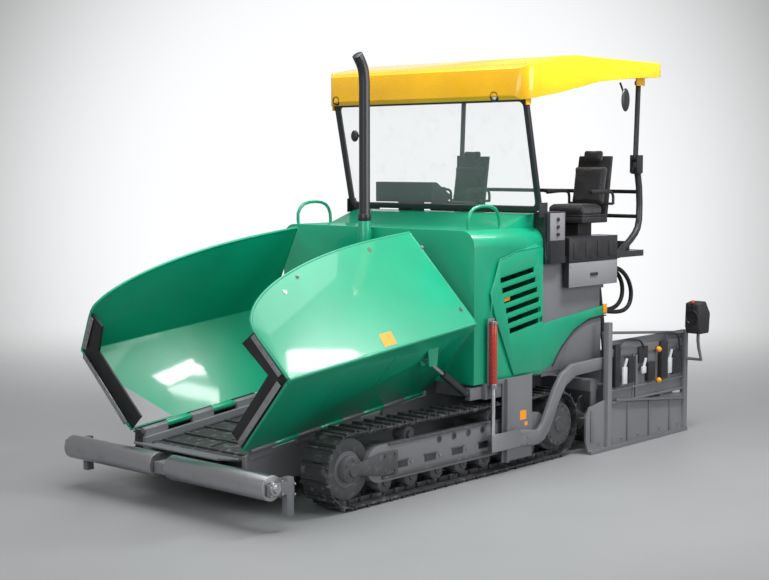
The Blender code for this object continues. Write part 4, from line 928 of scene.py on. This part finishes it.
def make_lockers(name, side):
    face = LOCKER_X + 0.0067
    doors = Piece(side)
    doors.block((LOCKER_X, 0.640, 2.075), (face, 0.872, 2.330), 0.003)
    doors.block((LOCKER_X, 0.950, 1.620), (face, 1.770, 1.850), 0.003)
    doors.bolts([(face, y, z) for y in (0.660, 0.855) for z in (2.095, 2.31)], ALONG_X, 0.007, 0.004)
    doors.bolts([(face, y, z) for y in (0.975, 1.745) for z in (1.65, 1.82)], ALONG_X, 0.008, 0.005)
    doors.finish(f"{name}_locker_doors", "chassis", LIGHT_GREY, "grey_paint")
    catch = Piece(side)
    root = face - 0.0005
    for z in (2.27, 2.20, 2.13):
        catch.rod((root, 0.755, z), (face + 0.013, 0.755, z), 0.018, 16)
    catch.block((LOCKER_X, 0.950, 1.865), (face, 1.770, 2.075), 0.003)
    for y in (1.02, 1.22, 1.42, 1.62):
        catch.block((root, y, 1.890), (face + 0.007, y + 0.13, 2.050), 0.003)
    catch.block((root, 1.30, 1.715), (face + 0.012, 1.42, 1.745), 0.003)
    catch.finish(f"{name}_locker_catches", "chassis", PLASTIC, "dark_plastic")


# ---- tow arms ----

GUIDE_FACE_X, ARM_FACE_X = 1.2272, 1.2725
LEVEL = (1.2565, -0.2)            # x, y of the levelling cylinder


def make_tow_trim(name, side):
    rings = Piece(side)
    rings.lathe([(0.030, 0.0), (0.0375, 0.003), (0.0375, 0.026), (0.030, 0.030)],
                (*LEVEL, 1.372), (0, 0, 1), 24)
    rings.lathe([(0.020, -0.004), (0.036, -0.004), (0.036, 0.030), (0.030, 0.034)],
                (*LEVEL, 0.806), (0, 0, 1), 24)
    rings.finish(f"{name}_levelling_rings", "chassis", BRUSHED, "steel")
    label = Piece(side)
    label.block((GUIDE_FACE_X, 0.235, 0.455), (GUIDE_FACE_X + 0.0002, 0.330, 0.540), 0)
    label.block((GUIDE_FACE_X, 0.305, 0.395), (GUIDE_FACE_X + 0.0002, 0.350, 0.430), 0)
    label.finish(f"{name}_guide_plates", "chassis", ORANGE, "yellow_paint")
    bolts = Piece(side)
    bolts.bolts([(ARM_FACE_X, y, z) for y, z in ((2.21, 0.83), (2.21, 0.74), (2.12, 0.83), (0.11, 0.31),
                                                 (0.30, 0.30), (0.30, 0.24))], ALONG_X, 0.012, 0.008)
    bolts.finish(f"{name}_arm_bolts", "screed", BRUSHED, "steel")


for name, side in SIDES:
    make_door_trim(name, side)
    make_fender(name, side)
    make_lockers(name, side)
    make_tow_trim(name, side)


# ---- screed ends ----

GATE_X = 1.311                    # just inside the end gate's outer face
BACK_X = (1.2930, 1.2990)         # the panel that closes the frame above the gate
DIAL = (1.520, 2.7705, 1.215)


def make_gate_back(name, side):
    body = f"{name}_extension"
    back = Piece(side)
    back.block((BACK_X[0], 1.600, 0.430), (BACK_X[1], 2.950, 1.060), 0)
    for y in (1.90, 2.30, 2.70):
        back.block((GATE_X, y - 0.010, 0.045), (GATE_X + 0.014, y + 0.010, 0.395), 0.003)
    back.block((GATE_X, 1.600, 0.440), (GATE_X + 0.019, 2.945, 0.462), 0.003)
    back.block((GATE_X, 1.600, 0.560), (GATE_X + 0.011, 2.945, 0.580), 0.003)
    back.block((GATE_X, 1.250, 0.120), (GATE_X + 0.013, 1.290, 0.420), 0.004)
    back.block((GATE_X, 2.030, 0.450), (GATE_X + 0.015, 2.060, 0.890), 0.003)
    back.finish(f"{name}_gate_back", body, GREY, "grey_paint")


def make_gate_gear(name, side):
    """Boxes, hoses and handles above the end gate."""
    body = f"{name}_extension"
    gear = Piece(side)
    for y0, z0, y1, z1, out in ((1.640, 0.600, 1.730, 1.020, 1.340), (1.860, 0.620, 1.975, 0.880, 1.350),
                                (2.075, 0.800, 2.240, 0.960, 1.335), (2.235, 0.600, 2.370, 0.790, 1.345),
                                (2.480, 0.600, 2.600, 0.980, 1.350), (2.720, 0.620, 2.900, 0.860, 1.340)):
        gear.block((BACK_X[1], y0, z0), (out, y1, z1), 0.006)
    gear.pipe([(1.330, 1.70, 1.00), (1.345, 1.80, 1.06), (1.345, 2.05, 1.03), (1.335, 2.16, 0.95)], 0.011, 8)
    gear.pipe([(1.340, 2.53, 0.95), (1.350, 2.60, 1.04), (1.350, 2.78, 1.02), (1.335, 2.86, 0.85)], 0.011, 8)
    gear.finish(f"{name}_gate_gear", body, PLASTIC, "dark_plastic")
    pale = Piece(side)
    for y, low, high in ((1.798, 0.620, 0.790), (2.147, 0.690, 0.760), (2.645, 0.640, 0.800)):
        pale.block((1.3300, y - 0.036, low), (1.3540, y + 0.036, high), 0.006)
        pale.rod((1.342, y, high - 0.01), (1.354, y + 0.02, high + 0.085), 0.014, 10)
    pale.finish(f"{name}_gate_handles", body, PALE, "grey_paint")


def make_gate_rails(name, side):
    body = f"{name}_extension"
    bright = Piece(side)
    bright.rod((1.331, 1.66, 0.478), (1.331, 2.93, 0.350), 0.015, 12)
    bright.rod((1.322, 1.53, 1.150), (1.322, 2.965, 1.035), 0.014, 12)
    bright.bolts([(GATE_X + 0.001, y, 0.085) for y in (1.40, 1.62, 1.80, 2.10, 2.50, 2.86)], ALONG_X,
                 0.012, 0.008)
    bright.block((1.3470, 1.25, 0.034), (1.3610, 2.985, 0.042), 0.002)
    bright.finish(f"{name}_gate_levers", body, BRUSHED, "steel")
    knobs = Piece(side)
    knobs.ball((1.345, 2.426, 0.906), 0.030, sides=12)
    knobs.ball((1.345, 2.435, 0.590), 0.028, sides=12)
    knobs.finish(f"{name}_gate_knobs", body, ORANGE, "yellow_paint")


def make_console_trim(name, side):
    body = f"{name}_extension"
    knob = Piece(side)
    knob.ball((DIAL[0], 2.785, 1.372), 0.022, sides=12)
    knob.finish(f"{name}_console_knob", body, RED, "red_paint")
    ring = Piece(side)
    ring.lathe([(0.0, 0.004), (0.058, 0.004), (0.062, 0.012), (0.072, 0.012), (0.076, 0.0)],
               DIAL, (0, -1, 0), 32)
    for x in (DIAL[0] - 0.045, DIAL[0], DIAL[0] + 0.045):
        ring.rod((x, 2.772, 1.325), (x, 2.760, 1.325), 0.010, 12)
    ring.finish(f"{name}_console_dial", body, BLACK, "black_paint")


for name, side in SIDES:
    make_gate_back(name, side)
    make_gate_gear(name, side)
    make_gate_rails(name, side)
    make_console_trim(name, side)


# ---- front beam, roof and stack ----

ROOF_FRONT = 0.262
BEAM_END_X = 1.2755


def make_roof_trim():
    """Lamps in the brow, the rear mirror and the small one on the stack."""
    rims = Piece()
    glass = Piece()
    for x, z in ((-1.094, 3.410), (0.896, 3.395)):
        rims.lathe([(0.030, 0.006), (0.036, 0.022), (0.044, 0.022), (0.048, -0.02)], (x, ROOF_FRONT, z),
                   (0, -1, 0), 24)
        glass.lathe([(0.0, 0.014), (0.020, 0.012), (0.037, 0.004), (0.037, -0.01)], (x, ROOF_FRONT, z),
                    (0, -1, 0), 24)
    rims.ball((1.185, 1.990, 3.410), 0.115, (0.16, 0.62, 1.0), 20)
    rims.rod((1.180, 1.990, 3.44), (1.120, 1.990, 3.58), 0.010, 10)
    rims.finish("roof_lamps", "canopy_roof", BLACK, "black_paint")
    glass.finish("roof_lamp_glass", "canopy_roof", CLEAR_LENS, "clear_glass")
    spot = Piece()
    spot.ball((-0.150, -0.492, 3.040), 0.045, (1, 0.5, 1.2), 16)
    spot.rod((-0.150, -0.485, 3.04), (-0.085, -0.485, 3.04), 0.008, 8)
    spot.finish("stack_mirror", "exhaust_stack", BLACK, "black_paint")


def make_beam_trim():
    trim = Piece()
    for side in (-1, 1):
        trim.side = side
        places = [(-2.945, 0.40), (-2.945, 0.30), (-2.83, 0.40), (-2.83, 0.30), (-2.70, 0.36), (-2.70, 0.28)]
        trim.bolts([(BEAM_END_X, y, z) for y, z in places], ALONG_X, 0.011, 0.008)
        trim.lathe([(0.0, 0.030), (0.030, 0.030), (0.036, 0.010), (0.052, 0.008), (0.056, -0.004)],
                   (BEAM_END_X, -2.90, 0.350), ALONG_X, 24)
    trim.finish("beam_bolts", "push_beam", BRUSHED, "steel")


make_roof_trim()
make_beam_trim()


# ---- stage ----

FLOOR_R = 16                      # metres
GLOW_WAY = (-0.6665, 0.7438, -0.045)          # the camera's way, where the backdrop is brightest


def make_stage():
    """A pale floor round the machine that thins out into the backdrop."""
    shape = bmesh.new()
    bmesh.ops.create_circle(shape, cap_ends=True, segments=96, radius=FLOOR_R)
    data = bpy.data.meshes.new("floor")
    shape.to_mesh(data)
    shape.free()
    floor = link("floor", data)
    made = Finish("studio_floor")
    spot = made.node("ShaderNodeVectorMath", {"operation": "LENGTH"}, {0: made.places()}, "Value")
    made.set(Base_Color=made.blend(made.ramp(made.noise(0.35, 3.0), 0.3, 0.7), (0.30, 0.305, 0.315, 1),
                                   (0.33, 0.335, 0.345, 1)), Roughness=0.5,
             Alpha=made.ramp(spot, 2.2, 13.0, 1.0, 0.0))
    data.materials.append(made.material)


def stand(item, place, turn):
    item.location = place
    item.rotation_mode = "QUATERNION"
    item.rotation_quaternion = turn


def add_softbox(name, place, aim, size, power):
    way = (Vector(aim) - Vector(place)).to_track_quat("-Z", "Y")
    add_light(name, place, way, size, power)


def add_card(name, place, along, up, size, power):
    """A narrow light whose mirror image shows in the wing's upper panel."""
    along, up = Vector(along).normalized(), Vector(up)
    up = (up - along * up.dot(along)).normalized()
    turn = Matrix((along, up, along.cross(up))).transposed()
    add_light(name, place, turn.to_quaternion(), size, power)


def add_light(name, place, turn, size, power):
    light = bpy.data.lights.new(name, "AREA")
    light.shape = "RECTANGLE"
    light.size, light.size_y = size
    light.energy = power
    stand(link(name, light), place, turn)


def make_world():
    """A grey room that glows white behind the machine."""
    world = bpy.data.worlds.new("studio")
    bpy.context.scene.world = world
    world.use_nodes = True
    tree = world.node_tree
    spot = tree.nodes.new("ShaderNodeTexCoord")
    dot = tree.nodes.new("ShaderNodeVectorMath")
    dot.operation = "DOT_PRODUCT"
    dot.inputs[1].default_value = Vector(GLOW_WAY).normalized()
    glow = tree.nodes.new("ShaderNodeMapRange")
    glow.interpolation_type = "SMOOTHSTEP"
    for name, value in (("From Min", 0.944), ("From Max", 0.992), ("To Min", 0.34), ("To Max", 1.02)):
        glow.inputs[name].default_value = value
    tree.links.new(spot.outputs["Generated"], dot.inputs[0])
    tree.links.new(dot.outputs["Value"], glow.inputs["Value"])
    tree.links.new(glow.outputs["Result"], tree.nodes["Background"].inputs["Strength"])
    tree.nodes["Background"].inputs["Color"].default_value = (0.985, 0.99, 1.0, 1)


def make_lights():
    make_world()
    add_softbox("top_light", (0.5, -1.0, 8.0), (0, 0, 1.0), (7, 8), 620)
    add_softbox("front_light", (3.0, -9.0, 4.0), (0, -1, 1.2), (5, 3), 160)
    add_softbox("side_light", (9.0, 2.0, 4.0), (0.5, 0, 1.2), (4, 4), 220)
    add_card("upper_card", (3.10, 1.52, 5.88), (-0.12, 1.72, 0.03), (-0.25, 0.15, 0.32), (1.90, 0.46), 150)
    add_card("lower_card", (3.36, 2.15, 5.48), (-0.20, 3.1, -0.28), (-0.20, 0.15, 0.22), (3.30, 0.20), 62)
    bpy.context.scene.view_settings.view_transform = "Standard"


def make_camera():
    camera = bpy.data.cameras.new("camera")
    camera.sensor_width = 36.0
    camera.lens = 68.42
    item = link("camera", camera)
    stand(item, (9.0995, -10.4078, 2.7982), Vector((-0.66464, 0.74207, -0.08709)).to_track_quat("-Z", "Y"))
    bpy.context.scene.camera = item


make_stage()
make_lights()
make_camera()
